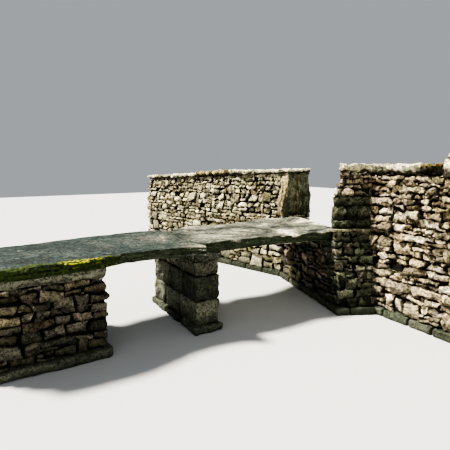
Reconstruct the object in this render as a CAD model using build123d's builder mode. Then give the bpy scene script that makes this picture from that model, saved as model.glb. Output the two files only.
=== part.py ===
"""Stone slab bridge: two flagstone slabs over a small stream, carried by a pier and two abutments.

The right-hand abutment stands in the gap of a dry-stone wall that runs along the bank, so the deck ends
in a gateway between the downstream wall and the upstream wall. Sizes are in millimetres. X runs along
the deck from the left bank to the right, Y runs upstream and Z is up. The origin is the middle of the
pier's foot, at the stream bed.
"""
from build123d import *
from math import cos, radians, sin, tan
import os

# Levels
deck_height = 1450
slab_thickness = 165
footing_height = 130
footing_projection = 50
bearing_height = 140

# Deck in plan
deck_width = 1850
deck_offset = -80
joint_gap = 12
joint_notch_depth = 290
joint_bend_offset = 318
joint_mouth_depth = 240
joint_far_setback = 45
joint_bend_setback = 193
joint_near_setback = 75
left_slab_overhang = 50
right_slab_bearing = 350
gateway_clearance = 10

# Spans and supports
left_span = 1350
right_span = 2510
pier_thickness = 430
pier_length = 1750
pier_lower_height = 390
pier_middle_height = 410
pier_cap_height = 110
pier_cap_projection = 20
left_abutment_depth = 1550
left_abutment_width = 1400
left_abutment_setback = 110
right_abutment_depth = 850

# Gateway at the right-hand end of the deck
bank_skew = 15.6
gateway_width = 2070

# Downstream wall, set back from the abutment, with coping slabs that step up
downstream_heading = -92
downstream_setback = 550
downstream_length = 2600
downstream_thickness = 800
downstream_height = 1000
downstream_stream_batter = 0.052
downstream_land_batter = 0.078
downstream_cope_lengths = (645, 560, 450)
downstream_cope_heights = (180, 190, 150)
set_back_cope = 2
set_back_distance = 110
tall_cope_height = 280
top_slab_height = 80
top_slab_inset = 60

# Wing: long end stones that turn from the downstream wall's face to the gateway's near corner
wing_heading = -27
wing_nose = 145
wing_batter = 0.12
wing_foot_batter = 0.2
wing_quoin_lean = 0.1
wing_top_lean = 0.35
through_course_height = 50
through_course_projection = 25
quoin_heights = (170, 220, 190)
wing_cope_height = 190

# Upstream wall: two upright end stones under a flat cap, then coping along a falling top
upstream_heading = 105.6
upstream_length = 5300
upstream_thickness = 896
upstream_height = 990
upstream_fall = 0.049
upstream_stream_batter = 0.18
upstream_land_batter = 0.06
end_stone_length = 140
front_end_stone_width = 465
upstream_flat_cope_lengths = (450, 380, 520, 450)
upstream_flat_cope_heights = (90, 85, 105, 135)
upright_cope_count = 5
upright_cope_length = 250
upright_cope_height = 140
upstream_far_cope_count = 2
upstream_far_cope_height = 95

# Coping stones of both walls
cope_overhang = 25
cope_joint = 8

# Blanks run past the planes that trim them by this much
trim_allowance = 700

# Levels and faces that follow from the sizes above
slab_underside = deck_height - slab_thickness
bearing_level = slab_underside - bearing_height
pier_face = pier_thickness / 2
left_bank_face = -pier_face - left_span
left_bank_back = left_bank_face - left_abutment_depth
right_bank_face = pier_face + right_span
skew_slope = tan(radians(bank_skew))
gateway_side = gateway_width / 2
deck_front = deck_offset - deck_width / 2
deck_back = deck_offset + deck_width / 2


def bank_x(y):
    """X of the right bank's stream face at this Y."""
    return right_bank_face + skew_slope * y


class WallLine:
    """The stream face of a bank wall at deck level, from the gateway outwards."""

    def __init__(self, side, heading, setback):
        self.start = Vector(bank_x(side * gateway_side) + setback, side * gateway_side, 0)
        self.run = Vector(cos(radians(heading)), sin(radians(heading)), 0)
        self.land = Vector(side * self.run.Y, -side * self.run.X, 0)
        self.side = side

    def section(self, distance):
        """Upright plane across the wall, with x towards the land and y up."""
        return Plane(
            origin=self.start + self.run * distance,
            x_dir=self.land,
            z_dir=self.land.cross(Vector(0, 0, 1)),
        )

    def top(self, level, fall):
        """Plane along the wall's top, which falls away from the gateway."""
        return Plane(
            origin=self.start + Vector(0, 0, level),
            x_dir=self.land,
            z_dir=self.run * fall + Vector(0, 0, 1),
        )

    def end(self, overhang=0):
        """Upright plane of the wall's end beside the gateway."""
        return Plane(
            origin=(0, self.side * (gateway_side - overhang), 0),
            x_dir=(1, 0, 0),
            z_dir=(0, self.side, 0),
        )


def save(part, name):
    """Label one finished piece and write it as its own file."""
    part.label = name
    export_step(part, f"parts/{name}.step")


def prism(outline, low, high):
    """Add an upright prism on a plan outline to the piece being built."""
    with BuildSketch(Plane.XY.offset(low)) as plan:
        with BuildLine():
            Polyline(*outline, close=True)
        make_face()
    extrude(plan.sketch, amount=high - low)


def stretch(line, section, start, end):
    """Add a stretch of wall with this section, between two distances along its line."""
    with BuildSketch(line.section(start)) as profile:
        with BuildLine():
            Polyline(*section, close=True)
        make_face()
    extrude(profile.sketch, amount=end - start, dir=line.run)


def upright_section(inner, outer, low, high):
    """Rectangular section between two distances from the wall's line."""
    return [(inner, low), (outer, low), (outer, high), (inner, high)]


def rectangle(left, right, front, back):
    """Plan outline of a straight-sided block."""
    return [(left, front), (right, front), (right, back), (left, back)]


def skewed_block(projection, depth):
    """Plan outline of a block across the gateway, its front on the right bank's skewed line."""
    near = bank_x(-gateway_side)
    far = bank_x(gateway_side)
    return [
        (near - projection, -gateway_side),
        (near + depth, -gateway_side),
        (far + depth, gateway_side),
        (far - projection, gateway_side),
    ]


class Wing:
    """The end stones' wedge between the gateway's near corner and the downstream wall's face."""

    def __init__(self):
        bank = Vector(-sin(radians(bank_skew)), -cos(radians(bank_skew)), 0)
        self.corner = Vector(bank_x(-gateway_side), -gateway_side, 0)
        self.nose = self.corner + bank * wing_nose
        self.behind_nose = Vector(-bank.Y, bank.X, 0)
        self.land = Vector(-sin(radians(wing_heading)), cos(radians(wing_heading)), 0)

    def block(self, low, high, level, face_inset=0, nose_inset=0, batter=0, lean=0):
        """Add the wedge between two heights, its faces set in by so much at a level and leaning."""
        near = -gateway_side - wing_nose - 2 * trim_allowance
        far_right = self.corner.X + downstream_setback + downstream_thickness / 2
        prism(rectangle(self.corner.X - trim_allowance, far_right, near, -gateway_side), low, high)
        lift = Vector(0, 0, level)
        face = Plane(
            origin=self.nose + self.land * face_inset + lift,
            z_dir=self.land + Vector(0, 0, -batter),
        )
        end = Plane(
            origin=self.corner + self.behind_nose * nose_inset + lift,
            z_dir=self.behind_nose + Vector(0, 0, -lean),
        )
        split(bisect_by=face, keep=Keep.TOP)
        split(bisect_by=end, keep=Keep.TOP)


os.makedirs("parts", exist_ok=True)

# The two slabs meet on a crooked joint over the pier, with a notch in the deck's far edge.
# An edge's points give a share of the slab's length and how far the edge stands out from the deck line.
joint_far = (-joint_far_setback, deck_back - joint_notch_depth)
joint_bend = (-joint_bend_setback, deck_offset - joint_bend_offset)
joint_near = (-joint_near_setback, deck_front + joint_mouth_depth)
left_joint = [(x - joint_gap / 2, y) for x, y in (joint_near, joint_bend, joint_far)]
right_joint = [(x + joint_gap / 2, y) for x, y in (joint_far, joint_bend, joint_near)]

left_slab_end = left_bank_back - left_slab_overhang
left_slab_front = [(1, -5), (0.88, 55), (0.62, 70), (0.37, -130)]
left_slab_front += [(0.21, -100), (0.1, 0), (0.048, 190), (0.02, -30)]
left_slab_back = [(0.075, -20), (0.26, -70), (0.5, -120), (0.71, -300), (1, -420)]
front_points = [(left_slab_end * share, deck_front - out) for share, out in left_slab_front]
back_points = [(left_slab_end * share, deck_back + out) for share, out in left_slab_back]
with BuildPart() as left_slab:
    prism(front_points + left_joint + back_points, slab_underside, deck_height)
save(left_slab.part, "left_slab")

slab_side = gateway_side - gateway_clearance
right_slab_end = bank_x(0) + right_slab_bearing
right_slab_front = [(0.012, -110), (0.16, -110), (0.35, -140), (0.49, 0)]
right_slab_back = [(0.55, -60), (0.37, -140), (0.24, -60), (0.14, -20)]
front_points = [(right_slab_end * share, deck_front - out) for share, out in right_slab_front]
back_points = [(right_slab_end * share, deck_back + out) for share, out in right_slab_back]
gateway_points = [
    (right_slab_end * 0.67, -slab_side),
    (bank_x(-slab_side) + right_slab_bearing, -slab_side),
    (bank_x(slab_side) + right_slab_bearing, slab_side - 150),
    (right_slab_end * 0.92, slab_side - 120),
    (right_slab_end * 0.76, slab_side),
]
with BuildPart() as right_slab:
    prism(front_points + gateway_points + back_points + right_joint, slab_underside, deck_height)
save(right_slab.part, "right_slab")

# Pier: a footing, three courses of big blocks and a flat capstone
pier_side = pier_length / 2
with BuildPart() as pier_footing:
    with Locations((0, 0, footing_height / 2)):
        Box(
            pier_thickness + 2 * footing_projection,
            pier_length + 2 * footing_projection,
            footing_height,
        )
save(pier_footing.part, "pier_footing")

pier_cap_level = slab_underside - pier_cap_height
pier_levels = [footing_height, footing_height + pier_lower_height]
pier_levels += [pier_levels[-1] + pier_middle_height, pier_cap_level]
pier_names = ("pier_lower_course", "pier_middle_course", "pier_upper_course")
for name, low, high in zip(pier_names, pier_levels, pier_levels[1:]):
    with BuildPart() as pier_course:
        prism(rectangle(-pier_face, pier_face, -pier_side, pier_side), low, high)
    save(pier_course.part, name)

cap_face = pier_face + pier_cap_projection
cap_side = pier_side + pier_cap_projection
with BuildPart() as pier_capstone:
    prism(rectangle(-cap_face, cap_face, -cap_side, cap_side), pier_cap_level, slab_underside)
save(pier_capstone.part, "pier_capstone")

# Left abutment, on the open bank
abutment_front = deck_front + left_abutment_setback
abutment_back = abutment_front + left_abutment_width
footing_outline = rectangle(
    left_bank_back,
    left_bank_face + footing_projection,
    abutment_front - footing_projection,
    abutment_back + footing_projection,
)
abutment_outline = rectangle(left_bank_back, left_bank_face, abutment_front, abutment_back)
with BuildPart() as left_abutment_footing:
    prism(footing_outline, 0, footing_height)
save(left_abutment_footing.part, "left_abutment_footing")

with BuildPart() as left_abutment:
    prism(abutment_outline, footing_height, bearing_level)
save(left_abutment.part, "left_abutment")

with BuildPart() as left_bearing_course:
    prism(abutment_outline, bearing_level, slab_underside)
save(left_bearing_course.part, "left_bearing_course")

# Right abutment, between the two walls
with BuildPart() as right_abutment_footing:
    prism(skewed_block(footing_projection, right_abutment_depth), 0, footing_height)
save(right_abutment_footing.part, "right_abutment_footing")

with BuildPart() as right_abutment:
    prism(skewed_block(0, right_abutment_depth), footing_height, bearing_level)
save(right_abutment.part, "right_abutment")

with BuildPart() as right_bearing_course:
    prism(skewed_block(0, right_abutment_depth), bearing_level, slab_underside)
save(right_bearing_course.part, "right_bearing_course")

# Downstream wall: a footing and one battered mass
downstream = WallLine(-1, downstream_heading, downstream_setback)
footing_edges = (-footing_projection, downstream_thickness + footing_projection)
with BuildPart() as downstream_footing:
    section = upright_section(*footing_edges, 0, footing_height)
    stretch(downstream, section, -trim_allowance, downstream_length)
    split(bisect_by=downstream.end(), keep=Keep.TOP)
save(downstream_footing.part, "downstream_footing")

downstream_top = deck_height + downstream_height
wall_height = downstream_top - footing_height
downstream_top_inner = downstream_stream_batter * wall_height
downstream_top_outer = downstream_thickness - downstream_land_batter * wall_height
downstream_section = [
    (0, footing_height),
    (downstream_thickness, footing_height),
    (downstream_top_outer, downstream_top),
    (downstream_top_inner, downstream_top),
]
with BuildPart() as downstream_wall:
    stretch(downstream, downstream_section, -trim_allowance, downstream_length)
    split(bisect_by=downstream.end(), keep=Keep.TOP)
save(downstream_wall.part, "downstream_wall")

# Downstream coping: flat slabs, one of them set back, then a tall stone with a slab on it
cope_inner = downstream_top_inner - cope_overhang
cope_outer = downstream_top_outer + cope_overhang
cope_start = 0
coping_stones = []
for index, (length, height) in enumerate(zip(downstream_cope_lengths, downstream_cope_heights)):
    blank_start = cope_start if index else -trim_allowance
    inner = cope_inner + (set_back_distance if index == set_back_cope else 0)
    with BuildPart() as downstream_coping:
        section = upright_section(inner, cope_outer, downstream_top, downstream_top + height)
        stretch(downstream, section, blank_start, cope_start + length - cope_joint)
        split(bisect_by=downstream.end(), keep=Keep.TOP)
    save(downstream_coping.part, f"downstream_coping_{index + 1}")
    coping_stones.append(downstream_coping.part)
    cope_start += length

with BuildPart() as downstream_tall_coping:
    tall_cope_top = downstream_top + tall_cope_height
    section = upright_section(cope_inner, cope_outer, downstream_top, tall_cope_top)
    stretch(downstream, section, cope_start, downstream_length)
save(downstream_tall_coping.part, "downstream_tall_coping")

with BuildPart() as downstream_top_slab:
    section = upright_section(cope_inner, cope_outer, tall_cope_top, tall_cope_top + top_slab_height)
    stretch(downstream, section, cope_start + top_slab_inset, downstream_length)
save(downstream_top_slab.part, "downstream_top_slab")

# Wing, from its footing to its coping, each piece fitted against the downstream wall
wing = Wing()
wing_foot_reach = wing_foot_batter * (deck_height - footing_height)
with BuildPart() as wing_footing:
    face_inset = -wing_foot_reach - footing_projection
    wing.block(0, footing_height, 0, face_inset=face_inset, nose_inset=-footing_projection)
    add(downstream_footing.part, mode=Mode.SUBTRACT)
save(wing_footing.part, "wing_footing")

with BuildPart() as wing_base:
    wing.block(footing_height, deck_height, deck_height, batter=wing_foot_batter)
    add(downstream_wall.part, mode=Mode.SUBTRACT)
save(wing_base.part, "wing_base")

through_top = deck_height + through_course_height
with BuildPart() as wing_through_course:
    projection = -through_course_projection
    wing.block(deck_height, through_top, deck_height, face_inset=projection, nose_inset=projection)
    add(downstream_wall.part, mode=Mode.SUBTRACT)
save(wing_through_course.part, "wing_through_course")

quoin_level = through_top
for name, height in zip(("wing_quoin_lower", "wing_quoin_middle", "wing_quoin_upper"), quoin_heights):
    with BuildPart() as wing_quoin:
        top = quoin_level + height
        wing.block(quoin_level, top, deck_height, batter=wing_batter, lean=wing_quoin_lean)
        add(downstream_wall.part, mode=Mode.SUBTRACT)
    save(wing_quoin.part, name)
    quoin_level = top

face_inset = wing_batter * (quoin_level - deck_height)
nose_inset = wing_quoin_lean * (quoin_level - deck_height)
with BuildPart() as wing_top:
    insets = (face_inset, nose_inset)
    wing.block(quoin_level, downstream_top, quoin_level, *insets, wing_batter, wing_top_lean)
    add(downstream_wall.part, mode=Mode.SUBTRACT)
save(wing_top.part, "wing_top")

face_inset += wing_batter * (downstream_top - quoin_level) - cope_overhang
nose_inset += wing_top_lean * (downstream_top - quoin_level) - cope_overhang
with BuildPart() as wing_coping:
    wing.block(downstream_top, downstream_top + wing_cope_height, 0, face_inset, nose_inset)
    add(coping_stones, mode=Mode.SUBTRACT)
save(wing_coping.part, "wing_coping")

# Upstream wall, from the stream bed to the deck
upstream = WallLine(1, upstream_heading, 0)
footing_edges = (-footing_projection, upstream_thickness + footing_projection)
with BuildPart() as upstream_footing:
    section = upright_section(*footing_edges, 0, footing_height)
    stretch(upstream, section, -trim_allowance, upstream_length)
    split(bisect_by=upstream.end(), keep=Keep.TOP)
save(upstream_footing.part, "upstream_footing")

with BuildPart() as upstream_base:
    section = upright_section(0, upstream_thickness, footing_height, deck_height)
    stretch(upstream, section, -trim_allowance, upstream_length)
    split(bisect_by=upstream.end(), keep=Keep.TOP)
save(upstream_base.part, "upstream_base")

# Upstream wall above the deck
upstream_top = deck_height + upstream_height
blank_top = upstream_top + trim_allowance
blank_rise = blank_top - deck_height
upstream_stream_edge = [(0, deck_height), (upstream_stream_batter * blank_rise, blank_top)]
upstream_land_edge = [
    (upstream_thickness - upstream_land_batter * blank_rise, blank_top),
    (upstream_thickness, deck_height),
]
end_stone_joint = [(front_end_stone_width, blank_top), (front_end_stone_width, deck_height)]
end_stones = {
    "upstream_end_stone_front": upstream_stream_edge + end_stone_joint,
    "upstream_end_stone_back": end_stone_joint[::-1] + upstream_land_edge,
}
for name, section in end_stones.items():
    with BuildPart() as end_stone:
        stretch(upstream, section, -trim_allowance, end_stone_length)
        split(bisect_by=upstream.end(), keep=Keep.TOP)
        split(bisect_by=upstream.top(upstream_top, upstream_fall), keep=Keep.BOTTOM)
    save(end_stone.part, name)

with BuildPart() as upstream_wall:
    stretch(upstream, upstream_stream_edge + upstream_land_edge, end_stone_length, upstream_length)
    split(bisect_by=upstream.top(upstream_top, upstream_fall), keep=Keep.BOTTOM)
save(upstream_wall.part, "upstream_wall")

# Upstream coping: a flat cap and slabs, a row of upright stones, then longer slabs to the end
copes = [("upstream_end_cap", upstream_flat_cope_lengths[0], upstream_flat_cope_heights[0])]
for index, length in enumerate(upstream_flat_cope_lengths[1:], start=1):
    copes.append((f"upstream_coping_{index}", length, upstream_flat_cope_heights[index]))
for index in range(upright_cope_count):
    copes.append((f"upstream_upright_coping_{index + 1}", upright_cope_length, upright_cope_height))
far_length = upstream_length - sum(length for _, length, _ in copes)
for index in range(upstream_far_cope_count):
    share = far_length / upstream_far_cope_count
    copes.append((f"upstream_far_coping_{index + 1}", share, upstream_far_cope_height))

cope_end = upstream.end(cope_overhang)
cope_start = 0
for index, (name, length, height) in enumerate(copes):
    blank_start = cope_start if index else -trim_allowance
    wall_rise = upstream_height - upstream_fall * (cope_start + length / 2)
    inner = upstream_stream_batter * wall_rise - cope_overhang
    outer = upstream_thickness - upstream_land_batter * wall_rise + cope_overhang
    with BuildPart() as upstream_cope:
        section = upright_section(inner, outer, upstream_top - trim_allowance, blank_top)
        stretch(upstream, section, blank_start, cope_start + length - cope_joint)
        split(bisect_by=cope_end, keep=Keep.TOP)
        split(bisect_by=upstream.top(upstream_top, upstream_fall), keep=Keep.TOP)
        split(bisect_by=upstream.top(upstream_top + height, upstream_fall), keep=Keep.BOTTOM)
    save(upstream_cope.part, name)
    cope_start += length
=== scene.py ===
"""Dresses the stone slab bridge: two riven flagstones on laid rubble, squared blocks and coping.

Every stone is laid inside the solid that carries it, from the frame's own corners. Lengths are in
metres. X runs along the deck to its right end, Y runs across it to the far wall and Z is up.
"""
import logging
import math
import random
from dataclasses import asdict, dataclass, field, fields
from enum import Enum
from itertools import pairwise

import bpy
import numpy as np
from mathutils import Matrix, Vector, noise
from mathutils.geometry import delaunay_2d_cdt


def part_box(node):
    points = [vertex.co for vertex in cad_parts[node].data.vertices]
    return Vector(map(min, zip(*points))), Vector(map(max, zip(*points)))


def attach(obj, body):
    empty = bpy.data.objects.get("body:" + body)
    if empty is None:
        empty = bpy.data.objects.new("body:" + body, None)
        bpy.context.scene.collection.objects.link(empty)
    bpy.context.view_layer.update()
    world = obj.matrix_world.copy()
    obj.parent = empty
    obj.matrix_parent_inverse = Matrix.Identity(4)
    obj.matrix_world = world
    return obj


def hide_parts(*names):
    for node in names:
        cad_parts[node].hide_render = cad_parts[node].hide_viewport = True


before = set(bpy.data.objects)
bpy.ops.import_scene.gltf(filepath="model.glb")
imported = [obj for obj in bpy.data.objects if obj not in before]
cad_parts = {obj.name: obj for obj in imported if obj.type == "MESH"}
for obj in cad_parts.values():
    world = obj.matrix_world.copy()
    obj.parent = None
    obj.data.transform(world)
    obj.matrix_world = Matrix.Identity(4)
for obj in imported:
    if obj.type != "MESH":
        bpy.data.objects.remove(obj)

LOG = logging.getLogger("bridge")
ROOT = "root"
UP = np.array((0.0, 0.0, 1.0))
SPAN_SIDE = np.array((-1.0, 0.0, 0.0))
WHOLE = (0.0, 1.0)
HALVES = (0.0, 0.5, 1.0)
QUARTER_TURN = math.pi / 2
GREY = (0.5, 0.5, 0.5, 1.0)
NOISE_GAIN = 1.6
ALWAYS_HIDDEN = 99.0

Colour = tuple[int, int, int]
Shares = tuple[float, float]
Joints = tuple[float, ...]
Post = tuple[np.ndarray, np.ndarray]


def tint(colour: Colour) -> tuple[float, ...]:
    """Converts an eight-bit screen colour.

    Args:
        colour: Red, green and blue from 0 to 255.

    Returns:
        The linear colour and its alpha.
    """
    parts = [value / 255 for value in colour]
    linear = [part / 12.92 if part <= 0.04045 else ((part + 0.055) / 1.055) ** 2.4 for part in parts]
    return (*linear, 1.0)


def mix(first: float | np.ndarray, second: float | np.ndarray, share: float) -> float | np.ndarray:
    """Point or number between two others."""
    return first + (second - first) * share


def clamp(value: float, low: float = 0.0, high: float = 1.0) -> float:
    """The value, kept between two limits."""
    return min(max(value, low), high)


def unit(vector: np.ndarray) -> np.ndarray:
    """Vector of length one along this one."""
    return vector / max(np.linalg.norm(vector), 1e-9)


def wander(x: float, y: float, z: float) -> float:
    """Smooth noise between about -1 and 1. The more the place is scaled up, the finer it is."""
    return noise.noise(Vector((x, y, z))) * NOISE_GAIN


class Socket(Enum):
    """Types of a node group's inputs and outputs."""

    COLOUR = "NodeSocketColor"
    VECTOR = "NodeSocketVector"
    NUMBER = "NodeSocketFloat"
    COUNT = "NodeSocketInt"
    GEOMETRY = "NodeSocketGeometry"
    MATERIAL = "NodeSocketMaterial"


class Graph:
    """Adds nodes to a node tree, with what feeds them and their settings."""

    def __init__(self, tree: bpy.types.NodeTree) -> None:
        """Keeps the tree and clears it."""
        self.tree = tree
        tree.nodes.clear()

    def add(self, kind: str, feeds: dict | None = None, **settings: object) -> bpy.types.Node:
        """Adds one node.

        Args:
            kind: The node's type.
            feeds: Inputs by name or number, each a wire to link or a value.
            **settings: Properties of the node.

        Returns:
            The new node.
        """
        node = self.tree.nodes.new(kind)
        for name, value in settings.items():
            setattr(node, name, value)
        for key, value in (feeds or {}).items():
            if isinstance(value, Wire):
                self.tree.links.new(value.socket, node.inputs[key])
            else:
                node.inputs[key].default_value = value
        return node

    def wire(self, kind: str, feeds: dict | None = None, output: int | str = 0, **settings: object) -> "Wire":
        """Adds a node and gives one of its outputs."""
        return Wire(self, self.add(kind, feeds, **settings).outputs[output])

    def wires(self, kind: str, feeds: dict | None = None, **settings: object) -> list["Wire"]:
        """Adds a node and gives all of its outputs."""
        return [Wire(self, socket) for socket in self.add(kind, feeds, **settings).outputs]

    def work(self, operation: str, first: object, second: object = 0.0) -> "Wire":
        """Result of an operation on two values.

        Args:
            operation: The operation's name.
            first: A wire, a number or a vector.
            second: A wire, a number or a vector. A number stands for each part of a vector.

        Returns:
            The result, which is a number where both values are.
        """
        values = (first, second)
        vectors = [value for value in values if isinstance(value, tuple) or getattr(value, "wide", False)]
        if not vectors:
            return self.wire("ShaderNodeMath", dict(enumerate(values)), operation=operation)
        if operation == "MULTIPLY" and len(vectors) == 1:
            factor = second if vectors[0] is first else first
            return self.wire("ShaderNodeVectorMath", {0: vectors[0], "Scale": factor}, operation="SCALE")
        feeds = {key: (value,) * 3 if isinstance(value, float) else value for key, value in enumerate(values)}
        return self.wire("ShaderNodeVectorMath", feeds, operation=operation)

    def span(self, value: object, low: object, high: object, out_low: object = 0.0,
             out_high: object = 1.0) -> "Wire":
        """A number mapped smoothly, from out_low where it is low to out_high where it is high."""
        feeds = {"Value": value, "From Min": low, "From Max": high, "To Min": out_low, "To Max": out_high}
        return self.wire("ShaderNodeMapRange", feeds, "Result", interpolation_type="SMOOTHSTEP")

    def blend(self, share: "Wire", first: object, second: object) -> "Wire":
        """A colour between two colours."""
        return self.wire("ShaderNodeMix", {0: share, 6: first, 7: second}, 2, data_type="RGBA")

    def noise(self, vector: "Wire", scale: object, detail: float = 2.0, roughness: float = 0.5,
              distortion: float = 0.0) -> "Wire":
        """Cloudy noise from 0 to 1, with its finer layers and their strength."""
        feeds = {"Vector": vector, "Scale": scale, "Detail": detail, "Roughness": roughness}
        return self.wire("ShaderNodeTexNoise", feeds | {"Distortion": distortion})

    def split(self, vector: "Wire") -> list["Wire"]:
        """The three parts of a vector."""
        return self.wires("ShaderNodeSeparateXYZ", {0: vector})

    def join(self, x: "Wire", y: "Wire", z: "Wire") -> "Wire":
        """A vector from its three parts."""
        return self.wire("ShaderNodeCombineXYZ", {0: x, 1: y, 2: z})

    def place(self) -> "Wire":
        """Where the surface is, in metres."""
        return self.wire("ShaderNodeTexCoord", None, "Object")

    def normal(self) -> list["Wire"]:
        """The parts of the direction that the surface faces."""
        return self.split(self.wire("ShaderNodeNewGeometry", None, "Normal"))

    def mark(self, name: str, output: str) -> "Wire":
        """An attribute of the mesh, read as Vector or as Fac."""
        return self.wire("ShaderNodeAttribute", None, output, attribute_name=name)

    def placed(self, group: bpy.types.NodeTree, **feeds: object) -> list["Wire"]:
        """Places a shader group and gives its outputs."""
        return self.wires("ShaderNodeGroup", feeds, node_tree=group)

    def bump(self, strength: float, distance: float, height: "Wire") -> "Wire":
        """The surface's normal, bent by a relief."""
        return self.wire("ShaderNodeBump", {"Strength": strength, "Distance": distance, "Height": height})

    def shade(self, feeds: dict) -> None:
        """Ends a material with its shader."""
        self.add("ShaderNodeOutputMaterial", {0: self.wire("ShaderNodeBsdfPrincipled", feeds)})


class Wire:
    """An output of a node, which adds up and multiplies as a number or a vector does."""

    def __init__(self, graph: Graph, socket: bpy.types.NodeSocket) -> None:
        """Keeps the output and the graph that its sums go to."""
        self.graph, self.socket = graph, socket

    @property
    def wide(self) -> bool:
        """Whether it carries a vector or a colour."""
        return self.socket.type in ("VECTOR", "RGBA")

    def __add__(self, other: object) -> "Wire":
        """This and another value."""
        return self.graph.work("ADD", self, other)

    def __sub__(self, other: object) -> "Wire":
        """This less another value."""
        return self.graph.work("SUBTRACT", self, other)

    def __rsub__(self, other: object) -> "Wire":
        """Another value less this."""
        return self.graph.work("SUBTRACT", other, self)

    def __mul__(self, other: object) -> "Wire":
        """This times another value."""
        return self.graph.work("MULTIPLY", self, other)

    def most(self, other: object) -> "Wire":
        """The greater of this and another value."""
        return self.graph.work("MAXIMUM", self, other)

    def least(self, other: object) -> "Wire":
        """The smaller of this and another value."""
        return self.graph.work("MINIMUM", self, other)


def new_group(name: str, kind: str, inputs: dict[str, tuple[Socket, object]],
              outputs: dict[str, Socket]) -> tuple[Graph, dict[str, Wire]]:
    """Starts a node group with named inputs and outputs.

    Args:
        name: The group's name.
        kind: ShaderNodeTree or GeometryNodeTree.
        inputs: Type and usual value of each input.
        outputs: Type of each output.

    Returns:
        The group's graph and its inputs.
    """
    tree = bpy.data.node_groups.new(name, kind)
    graph = Graph(tree)
    for label, (socket, value) in inputs.items():
        made = tree.interface.new_socket(label, in_out="INPUT", socket_type=socket.value)
        if value is not None:
            made.default_value = value
    for label, socket in outputs.items():
        tree.interface.new_socket(label, in_out="OUTPUT", socket_type=socket.value)
    given = graph.wires("NodeGroupInput")
    return graph, {wire.socket.name: wire for wire in given}


def new_material(name: str) -> tuple[bpy.types.Material, Graph]:
    """Starts a material.

    Args:
        name: The material's name.

    Returns:
        The material and its graph.
    """
    material = bpy.data.materials.new(name)
    material.use_nodes = True
    return material, Graph(material.node_tree)


class Bare(Enum):
    """Which sides of a stone show besides its face."""

    FACE = 0.0
    LOW_END = -1.0
    HIGH_END = 1.0
    ALL_ROUND = 2.0


class Cut(Enum):
    """How finely each stone's block is cut, as points along its length, depth and height."""

    FINE = (10, 3, 7)
    USUAL = (9, 3, 6)
    COARSE = (7, 3, 5)
    BLOCK = (26, 14, 14)
    SLAB = (30, 18, 6)


@dataclass(frozen=True)
class Surface:
    """How a kind of stone breaks: the scales and depths of its chips, facets and grain."""

    chip_scale: float = 6.0
    chip_depth: float = 0.018
    facet_scale: float = 11.0
    facet_depth: float = 0.016
    grain_scale: float = 38.0
    grain_depth: float = 0.004


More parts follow.
